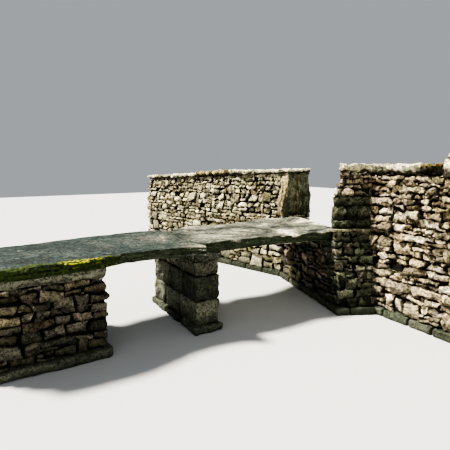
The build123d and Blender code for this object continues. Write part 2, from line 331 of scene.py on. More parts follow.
class StoneShaper:
    """The tree that turns each laid point into a stone that fills its net of 18 points.

    Attributes:
        NET: How many points a net has.
        CRAGS: How far each facet is thrown out of line, as a share of the facets' depth.
        DISH: How far from a facet's middle its hollow ends, as a share of the facet.
        STOUT: Half thickness from which a stone takes the full depth of chips and facets.
        CREASE: Angle from which an edge looks sharp, in degrees.
        LOWEST: Lowest place that a point may have, which is free but for the part's foot.
    """

    NET = 18
    CRAGS = 0.7
    DISH = 0.62
    STOUT = 0.035
    CREASE = 22
    LOWEST = (-1e3, -1e3, 0.0)

    def __init__(self) -> None:
        """Builds the tree once."""
        inputs = {"Geometry": (Socket.GEOMETRY, None)}
        inputs |= {self.label(name): (Socket.COUNT, cuts) for name, cuts in self.cuts(Cut.USUAL).items()}
        inputs |= {self.label(size.name): (Socket.NUMBER, size.default) for size in fields(Surface)}
        inputs |= {"Material": (Socket.MATERIAL, None)}
        self.graph, self.given = new_group(
            "laid_stones", "GeometryNodeTree", inputs, {"Geometry": Socket.GEOMETRY})
        self.build()

    @staticmethod
    def label(name: str) -> str:
        """An input's name from a field's name."""
        return name.replace("_", " ").title()

    @staticmethod
    def cuts(cut: Cut) -> dict[str, int]:
        """How many points each block has along its sides."""
        return dict(zip(("cuts_along", "cuts_deep", "cuts_high"), cut.value))

    def read(self, name: str, data_type: str = "FLOAT") -> Wire:
        """A named attribute of the stones."""
        return self.graph.wire("GeometryNodeInputNamedAttribute", {"Name": name}, data_type=data_type)

    def position(self) -> Wire:
        """Where the stones' points are."""
        return self.graph.wire("GeometryNodeInputPosition")

    def rounded(self) -> Wire:
        """Rounds the block's edges and swells its faces.

        Returns:
            Place in the block, from 0 to 1 on each axis.
        """
        graph = self.graph
        half, radius = self.read("half", "FLOAT_VECTOR"), self.read("radius")
        gathered = graph.work("SINE", self.read("local", "FLOAT_VECTOR") * QUARTER_TURN)
        metric, limit = gathered * half, half - radius
        inner = metric.most(limit * -1.0).least(limit)
        rim = graph.work("NORMALIZE", metric - inner)
        place = graph.work("DIVIDE", inner + rim * radius, half)
        x, y, z = graph.split(place * place)
        after, before = graph.join(y, z, x), graph.join(z, x, y)
        squares = 1.0 - (after + before) * 0.5 + after * before * (1 / 3)
        ball = graph.work("POWER", squares, 0.5)
        place = place * ((ball - 1.0) * self.read("bulge") + 1.0)
        return place * 0.5 + 0.5

    def filled(self, place: Wire) -> Wire:
        """Fits the block to the stone's net.

        Args:
            place: Place in the block, from 0 to 1 on each axis.

        Returns:
            The point of the laid stone there.
        """
        graph = self.graph
        along, deep, high = graph.split(place)
        weights = []
        for share in (along, high):
            twice = share * 2.0
            low, top = (1.0 - twice).most(0.0), (twice - 1.0).most(0.0)
            weights.append((low, 1.0 - low - top, top))
        total = (0.0, 0.0, 0.0)
        half = self.NET // 2
        for index in range(half):
            front, back = (self.read(f"net_{number}", "FLOAT_VECTOR") for number in (index, index + half))
            point = graph.wire("ShaderNodeMix", {0: deep, 4: front, 5: back}, 1,
                               data_type="VECTOR", clamp_factor=False)
            total = point * (weights[0][index % 3] * weights[1][index // 3]) + total
        return total

    def moved(self, geometry: Wire, key: str, value: Wire) -> Wire:
        """The geometry, set to a Position or moved by an Offset."""
        return self.graph.wire("GeometryNodeSetPosition", {"Geometry": geometry, key: value})

    def texture(self, kind: str, size: str, seed: Wire, output: str, **feeds: float) -> Wire:
        """A pattern that each stone has its own stretch of, in the scale of its chips, facets or grain."""
        feeds |= {"Vector": self.position(), "W": seed, "Scale": self.given[size + " Scale"]}
        return self.graph.wire(f"ShaderNodeTex{kind}", feeds, output, **{f"{kind.lower()}_dimensions": "4D"})

    def broken(self, stones: Wire) -> Wire:
        """Breaks the stones' surfaces, above the part's foot.

        Args:
            stones: The stones, still smooth.

        Returns:
            The stones with chips, facets, crags and grain.
        """
        graph, given = self.graph, self.given
        width, depth, height = graph.split(self.read("half", "FLOAT_VECTOR"))
        calm = graph.work("DIVIDE", width.least(depth).least(height), self.STOUT).least(1.0)
        seed = self.read("seed")
        chips = self.texture("Noise", "Chip", seed, "Color", Detail=1.0)
        stones = self.moved(stones, "Offset", (chips - 0.5) * (given["Chip Depth"] * 2.0 * calm))
        facet_depth = given["Facet Depth"] * calm
        hollow = (self.texture("Voronoi", "Facet", seed, "Distance") - self.DISH) * facet_depth
        crags = (self.texture("Voronoi", "Facet", seed, "Color") - 0.5) * (facet_depth * self.CRAGS)
        grain = (self.texture("Noise", "Grain", seed, "Fac", Detail=2.0) - 0.5) * given["Grain Depth"]
        normal = graph.wire("GeometryNodeInputNormal")
        stones = self.moved(stones, "Offset", crags + normal * (grain * 2.0 - hollow))
        return self.moved(stones, "Position", self.position().most(self.LOWEST))

    def build(self) -> None:
        """Adds the nodes: block, instances, fit to the net, broken surface and finish."""
        graph, given = self.graph, self.given
        block = graph.wire("GeometryNodeMeshCube", {
            "Size": (2, 2, 2), "Vertices X": given["Cuts Along"],
            "Vertices Y": given["Cuts Deep"], "Vertices Z": given["Cuts High"]}, "Mesh")
        block = graph.wire("GeometryNodeStoreNamedAttribute", {
            "Geometry": block, "Name": "local", "Value": self.position()},
            data_type="FLOAT_VECTOR", domain="POINT")
        laid = graph.wire("GeometryNodeInstanceOnPoints", {"Points": given["Geometry"], "Instance": block})
        stones = graph.wire("GeometryNodeRealizeInstances", {"Geometry": laid})
        stones = self.broken(self.moved(stones, "Position", self.filled(self.rounded())))
        smooth = graph.wire("GeometryNodeSetShadeSmooth", {"Geometry": stones}, domain="FACE")
        angle = graph.wire("GeometryNodeInputMeshEdgeAngle", None, "Unsigned Angle")
        creases = graph.wire("FunctionNodeCompare", {0: angle, 1: math.radians(self.CREASE)},
                             operation="GREATER_THAN")
        stones = graph.wire("GeometryNodeSetShadeSmooth", {
            "Geometry": smooth, "Selection": creases, "Shade Smooth": False}, domain="EDGE")
        for name in [f"net_{index}" for index in range(self.NET)] + ["half", "radius", "bulge", "seed"]:
            stones = graph.wire("GeometryNodeRemoveAttribute", {"Geometry": stones, "Name": name})
        stones = graph.wire("GeometryNodeRealizeInstances", {"Geometry": stones})
        dressed = graph.wire("GeometryNodeSetMaterial", {"Geometry": stones, "Material": given["Material"]})
        graph.add("NodeGroupOutput", {0: dressed})

    def shape(self, bed: "StoneBed", name: str, dressing: "Dressing",
              material: bpy.types.Material) -> bpy.types.Object:
        """Turns laid stones into one plain mesh.

        Args:
            bed: The stones.
            name: The piece's name.
            dressing: How the stones are cut and break.
            material: The finish.

        Returns:
            The piece.
        """
        points = bed.points(name)
        modifier = points.modifiers.new("laid_stones", "NODES")
        modifier.node_group = self.graph.tree
        sizes = self.cuts(dressing.cut) | asdict(dressing.surface)
        values = {self.label(label): value for label, value in sizes.items()} | {"Material": material}
        for item in self.graph.tree.interface.items_tree:
            if item.in_out == "INPUT" and item.name in values:
                modifier[item.identifier] = values[item.name]
        depsgraph = bpy.context.evaluated_depsgraph_get()
        mesh = bpy.data.meshes.new_from_object(points.evaluated_get(depsgraph), depsgraph=depsgraph)
        mesh.name = name
        bpy.data.objects.remove(points)
        return add_piece(name, mesh)


def add_piece(name: str, mesh: bpy.types.Mesh) -> bpy.types.Object:
    """Puts a mesh in the scene.

    Args:
        name: The piece's name.
        mesh: Its mesh.

    Returns:
        The piece.
    """
    piece = bpy.data.objects.new(name, mesh)
    bpy.context.scene.collection.objects.link(piece)
    return piece


@dataclass
class StoneBed:
    """Stones that are laid but not yet shaped: each has a net of 18 points, a roundness and a tone.

    Attributes:
        seed: Start of the bed's random numbers.
        roundest: Radius of an edge, at most, as a share of the stone's half thickness.
        seed_step: How far apart the patterns of two stones are.
        nets: Each stone's points.
        numbers: The stones' other values, by name.
        tones: Three numbers for each stone that its finish picks its colour by.
    """

    seed: int
    roundest: float = 0.85
    seed_step: float = 1.37
    nets: list[np.ndarray] = field(default_factory=list)
    numbers: dict[str, list[float]] = field(default_factory=lambda: {"radius": [], "bulge": [], "bare": []})
    tones: list[tuple[float, float, float]] = field(default_factory=list)

    def __post_init__(self) -> None:
        """Starts the bed's own run of random numbers."""
        self.dice = random.Random(self.seed)

    def lay(self, net: np.ndarray, radius: float, bulge: float = 0.0, bare: Bare = Bare.ALL_ROUND) -> None:
        """Lays one stone.

        Args:
            net: Front points, three along by three high, then the back points.
            radius: How round its edges are, limited by its size.
            bulge: How far it swells from a block, 0, to a ball, 1.
            bare: Which of its sides show.
        """
        self.nets.append(net)
        for name, value in (("radius", radius), ("bulge", bulge), ("bare", bare.value)):
            self.numbers[name].append(value)
        self.tones.append((self.dice.random(), self.dice.random(), self.dice.random()))

    def points(self, name: str) -> bpy.types.Object:
        """Turns the stones into one object of points.

        Args:
            name: The piece's name.

        Returns:
            The points, with the stones' nets and numbers as attributes.
        """
        nets = np.array(self.nets)
        mesh = bpy.data.meshes.new(name + "_points")
        mesh.from_pydata([tuple(point) for point in nets.mean(axis=1)], [], [])
        grid = nets.reshape(-1, 2, 3, 3, 3)
        half = np.stack([np.linalg.norm(size, axis=1) for size in (
            grid[:, :, 1, 2].mean(1) - grid[:, :, 1, 0].mean(1),
            grid[:, 1, 1, 1] - grid[:, 0, 1, 1],
            grid[:, :, 2, 1].mean(1) - grid[:, :, 0, 1].mean(1))], axis=1) / 2
        vectors = {f"net_{index}": nets[:, index] for index in range(StoneShaper.NET)}
        vectors |= {"half": half, "tone": np.array(self.tones)}
        for label, values in vectors.items():
            attribute = mesh.attributes.new(label, "FLOAT_VECTOR", "POINT")
            attribute.data.foreach_set("vector", values.astype(np.float32).ravel())
        numbers = {label: np.array(values) for label, values in self.numbers.items()}
        numbers["radius"] = np.minimum(numbers["radius"], half.min(axis=1) * self.roundest)
        numbers["seed"] = np.arange(len(nets)) * self.seed_step + self.seed
        for label, values in numbers.items():
            attribute = mesh.attributes.new(label, "FLOAT", "POINT")
            attribute.data.foreach_set("value", values.astype(np.float32))
        return add_piece(name + "_points", mesh)


def around(points: np.ndarray) -> list[np.ndarray]:
    """Points in anticlockwise order about their middle."""
    middle = points.mean(axis=0)
    return sorted(points, key=lambda p: math.atan2(p[1] - middle[1], p[0] - middle[0]))


def foot_edge(posts: list[Post], side: int = 0) -> np.ndarray:
    """The line along the foot of a side, from its first post to its second."""
    return posts[(side + 1) % len(posts)][0] - posts[side][0]


def side_length(posts: list[Post], side: int = 0) -> float:
    """Length of a side at its foot."""
    return float(np.linalg.norm(foot_edge(posts, side)))


def outward(posts: list[Post], side: int) -> np.ndarray:
    """Level direction that a side faces."""
    return unit(np.cross(foot_edge(posts, side), UP))


def node_posts(node: str, facing: np.ndarray = SPAN_SIDE) -> list[Post]:
    """Upright edges of a block-shaped node, from low to high corner, anticlockwise from above.

    Args:
        node: A node with four low and four high corners.
        facing: Where the first side looks.

    Returns:
        Four posts; the first side runs from post 0 to post 1.
    """
    points = np.unique(np.array([v.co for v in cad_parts[node].data.vertices]).round(4), axis=0)
    points = points[np.argsort(points[:, 2], kind="stable")]
    low, high = around(points[:4]), around(points[-4:])
    shift = min(range(4), key=lambda turn: sum(
        np.linalg.norm(low[i][:2] - high[(i + turn) % 4][:2]) for i in range(4)))
    posts = [(low[i], high[(i + shift) % 4]) for i in range(4)]
    first = max(range(4), key=lambda i: float(outward(posts, i) @ facing))
    return posts[first:] + posts[:first]


def block_corners(posts: list[Post], along: Shares = WHOLE, deep: Shares = WHOLE,
                  high: Shares = WHOLE) -> np.ndarray:
    """Eight corners of a share of a block.

    Args:
        posts: The block's posts.
        along: Shares along the first side.
        deep: Shares from the first side to the opposite one.
        high: Shares from low to high.

    Returns:
        The corners, low x first, then y, then z.
    """
    corners = []
    for w in high:
        level = [mix(low, top, w) for low, top in posts]
        for v in deep:
            for u in along:
                corners.append(mix(mix(level[0], level[1], u), mix(level[3], level[2], u), v))
    return np.array(corners)


def block_net(corners: np.ndarray) -> np.ndarray:
    """Makes the net of a plain block.

    Args:
        corners: The block's eight corners.

    Returns:
        The net's 18 points.
    """
    low_front, low_back, high_front, high_back = corners.reshape(4, 2, 3)
    return np.array([
        mix(mix(*low, share), mix(*high, share), rise)
        for low, high in ((low_front, high_front), (low_back, high_back))
        for rise in HALVES for share in HALVES])


def inner_block(posts: list[Post], inset: float, high: Shares = WHOLE) -> np.ndarray:
    """Corners of the filling behind a block's faces.

    Args:
        posts: The block's posts.
        inset: How far it lies behind the four sides.
        high: Shares from low to high.

    Returns:
        Eight corners.
    """
    middle = sum(low + top for low, top in posts) / (2 * len(posts))
    corners = block_corners(posts, high=high)
    for corner in corners:
        across = corner - middle
        for side in (0, 1):
            out = outward(posts, side)
            corner -= out * inset * (1 if across @ out > 0 else -1)
    return corners


def row(posts: list[Post], joints: Joints, gap: float, deep: Shares = WHOLE,
        high: Shares = WHOLE) -> list[np.ndarray]:
    """Splits a block into stones along its first side.

    Args:
        posts: The block's posts.
        joints: Shares of the length at which the stones meet.
        gap: Space left between them.
        deep: Shares of the depth that they fill.
        high: Shares of the height that they fill.

    Returns:
        Eight corners for each stone.
    """
    share = gap / side_length(posts) / 2
    stones = []
    for start, end in pairwise((0.0, *joints, 1.0)):
        along = (start + (share if start > 0 else 0), end - (share if end < 1 else 0))
        stones.append(block_corners(posts, along, deep, high))
    return stones


def box_mesh(name: str, hearts: list[np.ndarray], material: bpy.types.Material) -> bpy.types.Mesh:
    """Closed blocks from their corners, as one mesh.

    Args:
        name: The mesh's name.
        hearts: Eight corners for each block.
        material: The finish.

    Returns:
        The mesh.
    """
    faces = ((0, 2, 3, 1), (4, 5, 7, 6), (0, 1, 5, 4), (2, 6, 7, 3), (0, 4, 6, 2), (1, 3, 7, 5))
    points = [tuple(point) for corners in hearts for point in corners]
    quads = [tuple(index * 8 + corner for corner in face) for index in range(len(hearts)) for face in faces]
    mesh = bpy.data.meshes.new(name)
    mesh.from_pydata(points, [], quads)
    mesh.materials.append(material)
    return mesh


@dataclass(frozen=True)
class Masonry:
    """How rubble is laid. A pair of numbers is the range that chance picks from.

    Attributes:
        course: Height of a usual course.
        length: Length of a usual stone.
        joint: Open gap left around each stone.
        depth: How far a stone reaches into the wall.
        waver: How far a course line rises and falls.
        unrest: How far a corner strays from its course line.
        proud: How far stones stand in and out of the face.
        tilt: How far their faces are turned.
        radius: How round their edges are.
        bulge: How far they swell from a block to a ball.
        facet: How uneven a face is.
        skew: How far the corners are broken off.
        jump: Share of stones that are two courses tall.
        split: Share of tall places that three small stones fill.
        tall: Height from which a place is tall, in usual courses.
        missing: Share of stones that have fallen out.
        pins: Share of joints with a small stone wedged in.
        foot_scale: Height of the lowest course, in usual ones.
        hearting: How far the near-black filling, painted shade in the gaps, lies behind the faces.
        heights: Height of a course, as a share of the usual one.
        lengths: Length of a stone, likewise.
        depths: Depth of a stone, likewise.
        spread: Radius and bulge of a stone, likewise.
        bulk: How far a stone's length follows the course's height.
        lean: How far a face leans back or forward, in tilts.
        turn: How far it turns sideways, in tilts.
        taper: How much narrower a stone is at its back.
        slant: How far a joint leans.
        pin_widths: Half the width of a pin.
        pin_heights: Height of a pin, in courses.
        waist: Height of the lowest of three small stones, in courses.
        knee: Where the joint between the upper two stands.
    """

    course: float = 0.13
    length: float = 0.28
    joint: float = 0.0
    depth: float = 0.19
    waver: float = 0.03
    unrest: float = 0.02
    proud: float = 0.03
    tilt: float = 0.2
    radius: float = 0.012
    bulge: float = 0.14
    facet: float = 0.02
    skew: float = 0.45
    jump: float = 0.14
    split: float = 0.22
    tall: float = 0.9
    missing: float = 0.02
    pins: float = 0.35
    foot_scale: float = 1.25
    hearting: float = 0.10
    heights: Shares = (0.72, 1.3)
    lengths: Shares = (0.55, 1.45)
    depths: Shares = (0.8, 1.1)
    spread: Shares = (0.5, 1.5)
    bulk: Shares = (0.7, 1.4)
    lean: Shares = (-1.1, 0.8)
    turn: Shares = (-0.6, 0.6)
    taper: Shares = (0.06, 0.16)
    slant: float = 0.045
    pin_widths: Shares = (0.018, 0.04)
    pin_heights: Shares = (0.2, 0.45)
    waist: Shares = (0.4, 0.6)
    knee: Shares = (0.35, 0.65)


@dataclass
class RubbleMass:
    """A mass of laid rubble between its corner posts.

    Attributes:
        posts: The mass's upright edges, anticlockwise.
        style: How its stones are laid.
        hidden: Sides that aren't dressed, with the height below which they are hidden.
    """

    posts: list[Post]
    style: Masonry
    hidden: dict[int, float] = field(default_factory=dict)

    def cuts(self, dice: random.Random) -> list[float]:
        """Divides the mass into courses.

        Args:
            dice: Random numbers.

        Returns:
            Shares of the height at which the courses meet.
        """
        style = self.style
        height = float(np.mean([top[2] - low[2] for low, top in self.posts]))
        count = max(1, round(height / style.course))
        grades = np.linspace(style.foot_scale, 2 - style.foot_scale, count)
        sizes = [dice.uniform(*style.heights) * grade for grade in grades]
        return shares_of(sizes)

    def face_point(self, side: int, distance: float, level: float, cuts: list[float]) -> np.ndarray:
        """Point on a side's face.

        Args:
            side: Which side.
            distance: Metres from the side's first post.
            level: Course line, where 1.5 is halfway up the second course.
            cuts: Where the courses meet.

        Returns:
            The point, with the course line's rise and fall.
        """
        first, second = self.posts[side], self.posts[(side + 1) % len(self.posts)]
        share = distance / side_length(self.posts, side)
        top = len(cuts) - 1
        lower = min(int(level), top - 1)
        ends = []
        for line in (lower, lower + 1):
            point = mix(mix(*first, cuts[line]), mix(*second, cuts[line]), share)
            if 0 < line < top:
                rise = wander(point[0] * 1.9 + point[1] * 1.3, point[1] * 1.9, line * 5.3)
                point = point + UP * self.style.waver * rise
            ends.append(point)
        place = mix(*ends, level - lower)
        free_along, free_high = float(0 < share < 1), float(0 < level < top)
        sway = wander(*(place * 8.0 + 4.0)) * self.style.unrest * free_along
        return place + unit(second[0] - first[0]) * sway + UP * (
            wander(*(place * 8.0 + 31.0)) * self.style.unrest * free_high)

    def stone(self, bed: StoneBed, side: int, quad: list[Shares], cuts: list[float],
              bare: Bare = Bare.FACE, pin: bool = False) -> None:
        """Lays one stone on a side.

        Args:
            bed: Where it is laid.
            side: Which side it shows on.
            quad: Distance and level of its four face corners: low left, low right, high right, high left.
            cuts: Where the courses meet.
            bare: Which of its sides show.
            pin: Whether it is a small stone wedged between others.
        """
        dice, style = bed.dice, self.style
        places = np.array(quad)
        rows = [(mix(places[0], places[3], rise), mix(places[1], places[2], rise)) for rise in HALVES]
        face = [self.face_point(side, *mix(left, right, share), cuts)
                for left, right in rows for share in HALVES]
        out = outward(self.posts, side)
        middle = face[4]
        along = unit(face[5] - face[3])
        width, height = float(np.linalg.norm(face[5] - face[3])), float(face[7][2] - face[1][2])
        gap = style.joint * dice.uniform(*style.spread)
        set_back = 1.2 if pin else 0.7
        stand = dice.uniform(-1.0, 1.0) * style.proud - style.proud * set_back
        lean, turn = dice.uniform(*style.lean) * style.tilt, dice.uniform(*style.turn) * style.tilt
        front = []
        for index, point in enumerate(face):
            x, z = index % 3 - 1, index // 3 - 1
            pull = gap / 2 + dice.random() ** 2 * style.skew * min(width, height) / 2
            place = point - along * x * pull - UP * z * pull
            offset = place - middle
            swell = dice.uniform(-1.0, 1.0) * style.facet
            front.append(place + out * (stand + offset[2] * lean + (offset @ along) * turn + swell))
        depth = style.depth * dice.uniform(*style.depths)
        taper = dice.uniform(*style.taper)
        back = [mix(point, middle, taper) - out * depth for point in face]
        radius, bulge = (size * dice.uniform(*style.spread) for size in (style.radius, style.bulge))
        bed.lay(np.array(front + back), radius, bulge, bare)

    def run(self, bed: StoneBed, side: int, level: int, stretch: Shares, cuts: list[float],
            above: list[Shares]) -> None:
        """Fills a stretch of one course.

        Args:
            bed: Where the stones are laid.
            side: Which side.
            level: Which course.
            stretch: Where it starts and ends, in metres from the side's first post.
            cuts: Where the courses meet.
            above: Stretches of the next course that tall stones fill, which is added to.
        """
        dice, style = bed.dice, self.style
        start, end = stretch
        near_end = 0.01
        last = side_length(self.posts, side) - near_end
        height = (cuts[level + 1] - cuts[level]) * float(self.posts[0][1][2] - self.posts[0][0][2])
        bulk = clamp(height / style.course, *style.bulk)
        count = max(1, round((end - start) / (style.length * bulk)))
        marks = [start + (end - start) * share
                 for share in shares_of([dice.uniform(*style.lengths) for _ in range(count)])]
        slants = [0.0] + [dice.uniform(-style.slant, style.slant) for _ in range(count - 1)] + [0.0]
        for index, (left, right) in enumerate(pairwise(marks)):
            inner = 0 < index < count - 1
            bare = Bare.FACE
            if left < near_end:
                bare = Bare.LOW_END
            elif right > last:
                bare = Bare.HIGH_END
            if inner and dice.random() < style.pins:
                wide, tall = dice.uniform(*style.pin_widths), dice.uniform(*style.pin_heights)
                low = level + dice.choice((0.0, 1.0 - tall))
                self.stone(bed, side, quad_of(right - wide, right + wide, low, low + tall), cuts, pin=True)
            if inner and dice.random() < style.missing:
                continue
            if inner and level + 2 < len(cuts) and dice.random() < style.jump:
                above.append((left, right))
                self.stone(bed, side, quad_of(left, right, level, level + 2), cuts)
            elif height > style.course * style.tall and dice.random() < style.split:
                waist = level + dice.uniform(*style.waist)
                knee = mix(left, right, dice.uniform(*style.knee))
                self.stone(bed, side, quad_of(left, right, level, waist), cuts, bare)
                self.stone(bed, side, quad_of(left, knee, waist, level + 1), cuts,
                           bare if bare is Bare.LOW_END else Bare.FACE)
                self.stone(bed, side, quad_of(knee, right, waist, level + 1), cuts,
                           bare if bare is Bare.HIGH_END else Bare.FACE)
            else:
                quad = quad_of(left, right, level, level + 1, slants[index], slants[index + 1])
                self.stone(bed, side, quad, cuts, bare)

    def lay(self, bed: StoneBed) -> None:
        """Lays every dressed side, course by course, with corner stones that alternate.

        Args:
            bed: Where the stones are laid.
        """
        cuts = self.cuts(bed.dice)
        sides = len(self.posts)
        filled: list[list[Shares]] = [[] for _ in range(sides)]
        for level in range(len(cuts) - 1):
            above: list[list[Shares]] = [[] for _ in range(sides)]
            top = max(mix(*post, cuts[level + 1])[2] for post in self.posts)
            shown = [top > self.hidden.get(side, -1.0) for side in range(sides)]
            for side in range(sides):
                if not shown[side]:
                    continue
                has_corners = (level + side) % 2 == 1
                start = 0.0 if has_corners or not shown[side - 1] else self.style.depth
                end = side_length(self.posts, side)
                if not has_corners and shown[(side + 1) % sides]:
                    end -= self.style.depth
                for stretch in free_stretches(start, end, filled[side]):
                    self.run(bed, side, level, stretch, cuts, above[side])
            filled = above


def shares_of(sizes: list[float]) -> list[float]:
    """Marks from 0 to 1 that stand as far apart as the sizes."""
    total = sum(sizes)
    return [sum(sizes[:index]) / total for index in range(len(sizes))] + [1.0]


def quad_of(left: float, right: float, low: float, high: float, lean_left: float = 0.0,
            lean_right: float = 0.0) -> list[Shares]:
    """Face corners of a stone, with its upper corners moved along by each lean."""
    return [(left, low), (right, low), (right + lean_right, high), (left + lean_left, high)]


def free_stretches(start: float, end: float, filled: list[Shares], least: float = 0.02) -> list[Shares]:
    """Parts of a stretch that nothing fills yet.

    Args:
        start: Where the stretch starts.
        end: Where it ends.
        filled: Stretches inside it that are taken.
        least: Length from which a part counts.

    Returns:
        The free stretches, in order.
    """
    free, place = [], start
    for left, right in sorted(filled):
        if left - place > least:
            free.append((place, left))
        place = right
    if end - place > least:
        free.append((place, end))
    return free


def mottle_group() -> bpy.types.NodeTree:
    """Clouds, grains and flecks a colour and gives the relief that goes with it.

    Returns:
        The group.
    """
    graph, given = new_group("stone_mottle", "ShaderNodeTree", {
        "Colour": (Socket.COLOUR, GREY), "Vector": (Socket.VECTOR, None),
        "Scale": (Socket.NUMBER, 7.0), "Strength": (Socket.NUMBER, 0.5),
    }, {"Colour": Socket.COLOUR, "Height": Socket.NUMBER})
    vector, scale, strength = given["Vector"], given["Scale"], given["Strength"]
    clouds = graph.noise(vector, scale, detail=8.0, roughness=0.68)
    grains = graph.noise(vector, scale * 9.0, detail=4.0, roughness=0.7)
    flecks = graph.noise(vector, scale * 4.5, detail=3.0, roughness=0.6)
    swing = (clouds - 0.5) + (grains - 0.5) * 0.9
    gain = swing * (strength * 3.0) + 1.0
    gain = gain * graph.span(flecks, 0.38, 0.52, 1.0 - strength * 0.6, 1.24)
    height = clouds * 0.6 + grains * 0.4 + flecks * 0.35
    graph.add("NodeGroupOutput", {0: given["Colour"] * gain, 1: height})
    return graph.tree


def lichen_group() -> bpy.types.NodeTree:
    """Covers a colour with ragged patches of lichen or moss.

    Returns:
        The group.
    """
    graph, given = new_group("stone_lichen", "ShaderNodeTree", {
        "Colour": (Socket.COLOUR, GREY), "Lichen": (Socket.COLOUR, (0.7, 0.7, 0.6, 1)),
        "Vector": (Socket.VECTOR, None), "Scale": (Socket.NUMBER, 5.0), "Amount": (Socket.NUMBER, 0.3),
    }, {"Colour": Socket.COLOUR, "Mask": Socket.NUMBER})
    blots = graph.noise(given["Vector"], given["Scale"], detail=5.0, roughness=0.68)
    crumbs = graph.noise(given["Vector"], given["Scale"] * 14.0)
    edge = 0.78 - given["Amount"] * 0.5
    mask = graph.span(blots, edge, edge + 0.06) * graph.span(crumbs, 0.34, 0.52)
    graph.add("NodeGroupOutput", {0: graph.blend(mask, given["Colour"], given["Lichen"]), 1: mask})
    return graph.tree


def joint_dirt_and_shade_group() -> bpy.types.NodeTree:
    """Darkens a stone towards its joints, as dirt and painted shade in the gaps, and paints shade under its
    ragged middle line.

    Returns:
        The group.
    """
    graph, given = new_group("joint_dirt_and_painted_shade", "ShaderNodeTree", {
        "Colour": (Socket.COLOUR, GREY), "Grime": (Socket.COLOUR, (0.018, 0.017, 0.012, 1)),
        "Amount": (Socket.NUMBER, 0.7), "Beneath": (Socket.NUMBER, 0.0), "Line": (Socket.NUMBER, 0.25),
    }, {"Colour": Socket.COLOUR})
    local, bare = graph.mark("local", "Vector"), graph.mark("bare", "Fac")
    x, y, z = graph.split(graph.work("ABSOLUTE", local))
    along, depth, height = graph.split(local)
    covered = 1.0 - graph.span(along * bare, 0.85, 0.98).most(graph.span(bare, 1.4, 1.6))
    # Painted shade: level joints are darkened more than upright ones, as if lit from above.
    level_edge, upright_edge = x.most(y).least(z), x.least(y)
    rim = graph.span(level_edge, 0.86, 1.0, 0.0, 0.8).most(graph.span(upright_edge, 0.9, 1.0, 0.0, 0.45))
    rim = rim * graph.span(covered, 0.0, 1.0, 0.3, 1.0)
    # Painted shade under each stone, below its ragged middle line.
    ragged = graph.noise(graph.place(), 9.0, detail=4.0)
    level = graph.work("SINE", height * QUARTER_TURN) + (ragged - 0.5) * 1.6
    below = graph.span(level, given["Line"], given["Line"] - 0.9) * given["Beneath"]
    # Painted shade on the sides of each stone behind its face, with dirt in the joints.
    shade = rim.most(graph.span(depth, -1.0, -0.5) * covered)
    share = (shade * given["Amount"]).most(below)
    graph.add("NodeGroupOutput", {0: graph.blend(share, given["Colour"], given["Grime"])})
    return graph.tree


def damp_group() -> bpy.types.NodeTree:
    """Darkens the feet of walls and of the pier, up to a ragged line.

    Returns:
        The group.
    """
    graph, given = new_group("damp_foot", "ShaderNodeTree", {
        "Colour": (Socket.COLOUR, GREY), "Damp": (Socket.COLOUR, (0.04, 0.05, 0.03, 1)),
        "Height": (Socket.NUMBER, 0.5), "Amount": (Socket.NUMBER, 0.6),
    }, {"Colour": Socket.COLOUR, "Mask": Socket.NUMBER})
    place = graph.place()
    level = graph.split(place)[2] + (graph.noise(place, 2.6, detail=5.0) - 0.5) * 0.5
    mask = graph.span(level, given["Height"], 0.0) * given["Amount"]
    graph.add("NodeGroupOutput", {0: graph.blend(mask, given["Colour"], given["Damp"]), 1: mask})
    return graph.tree


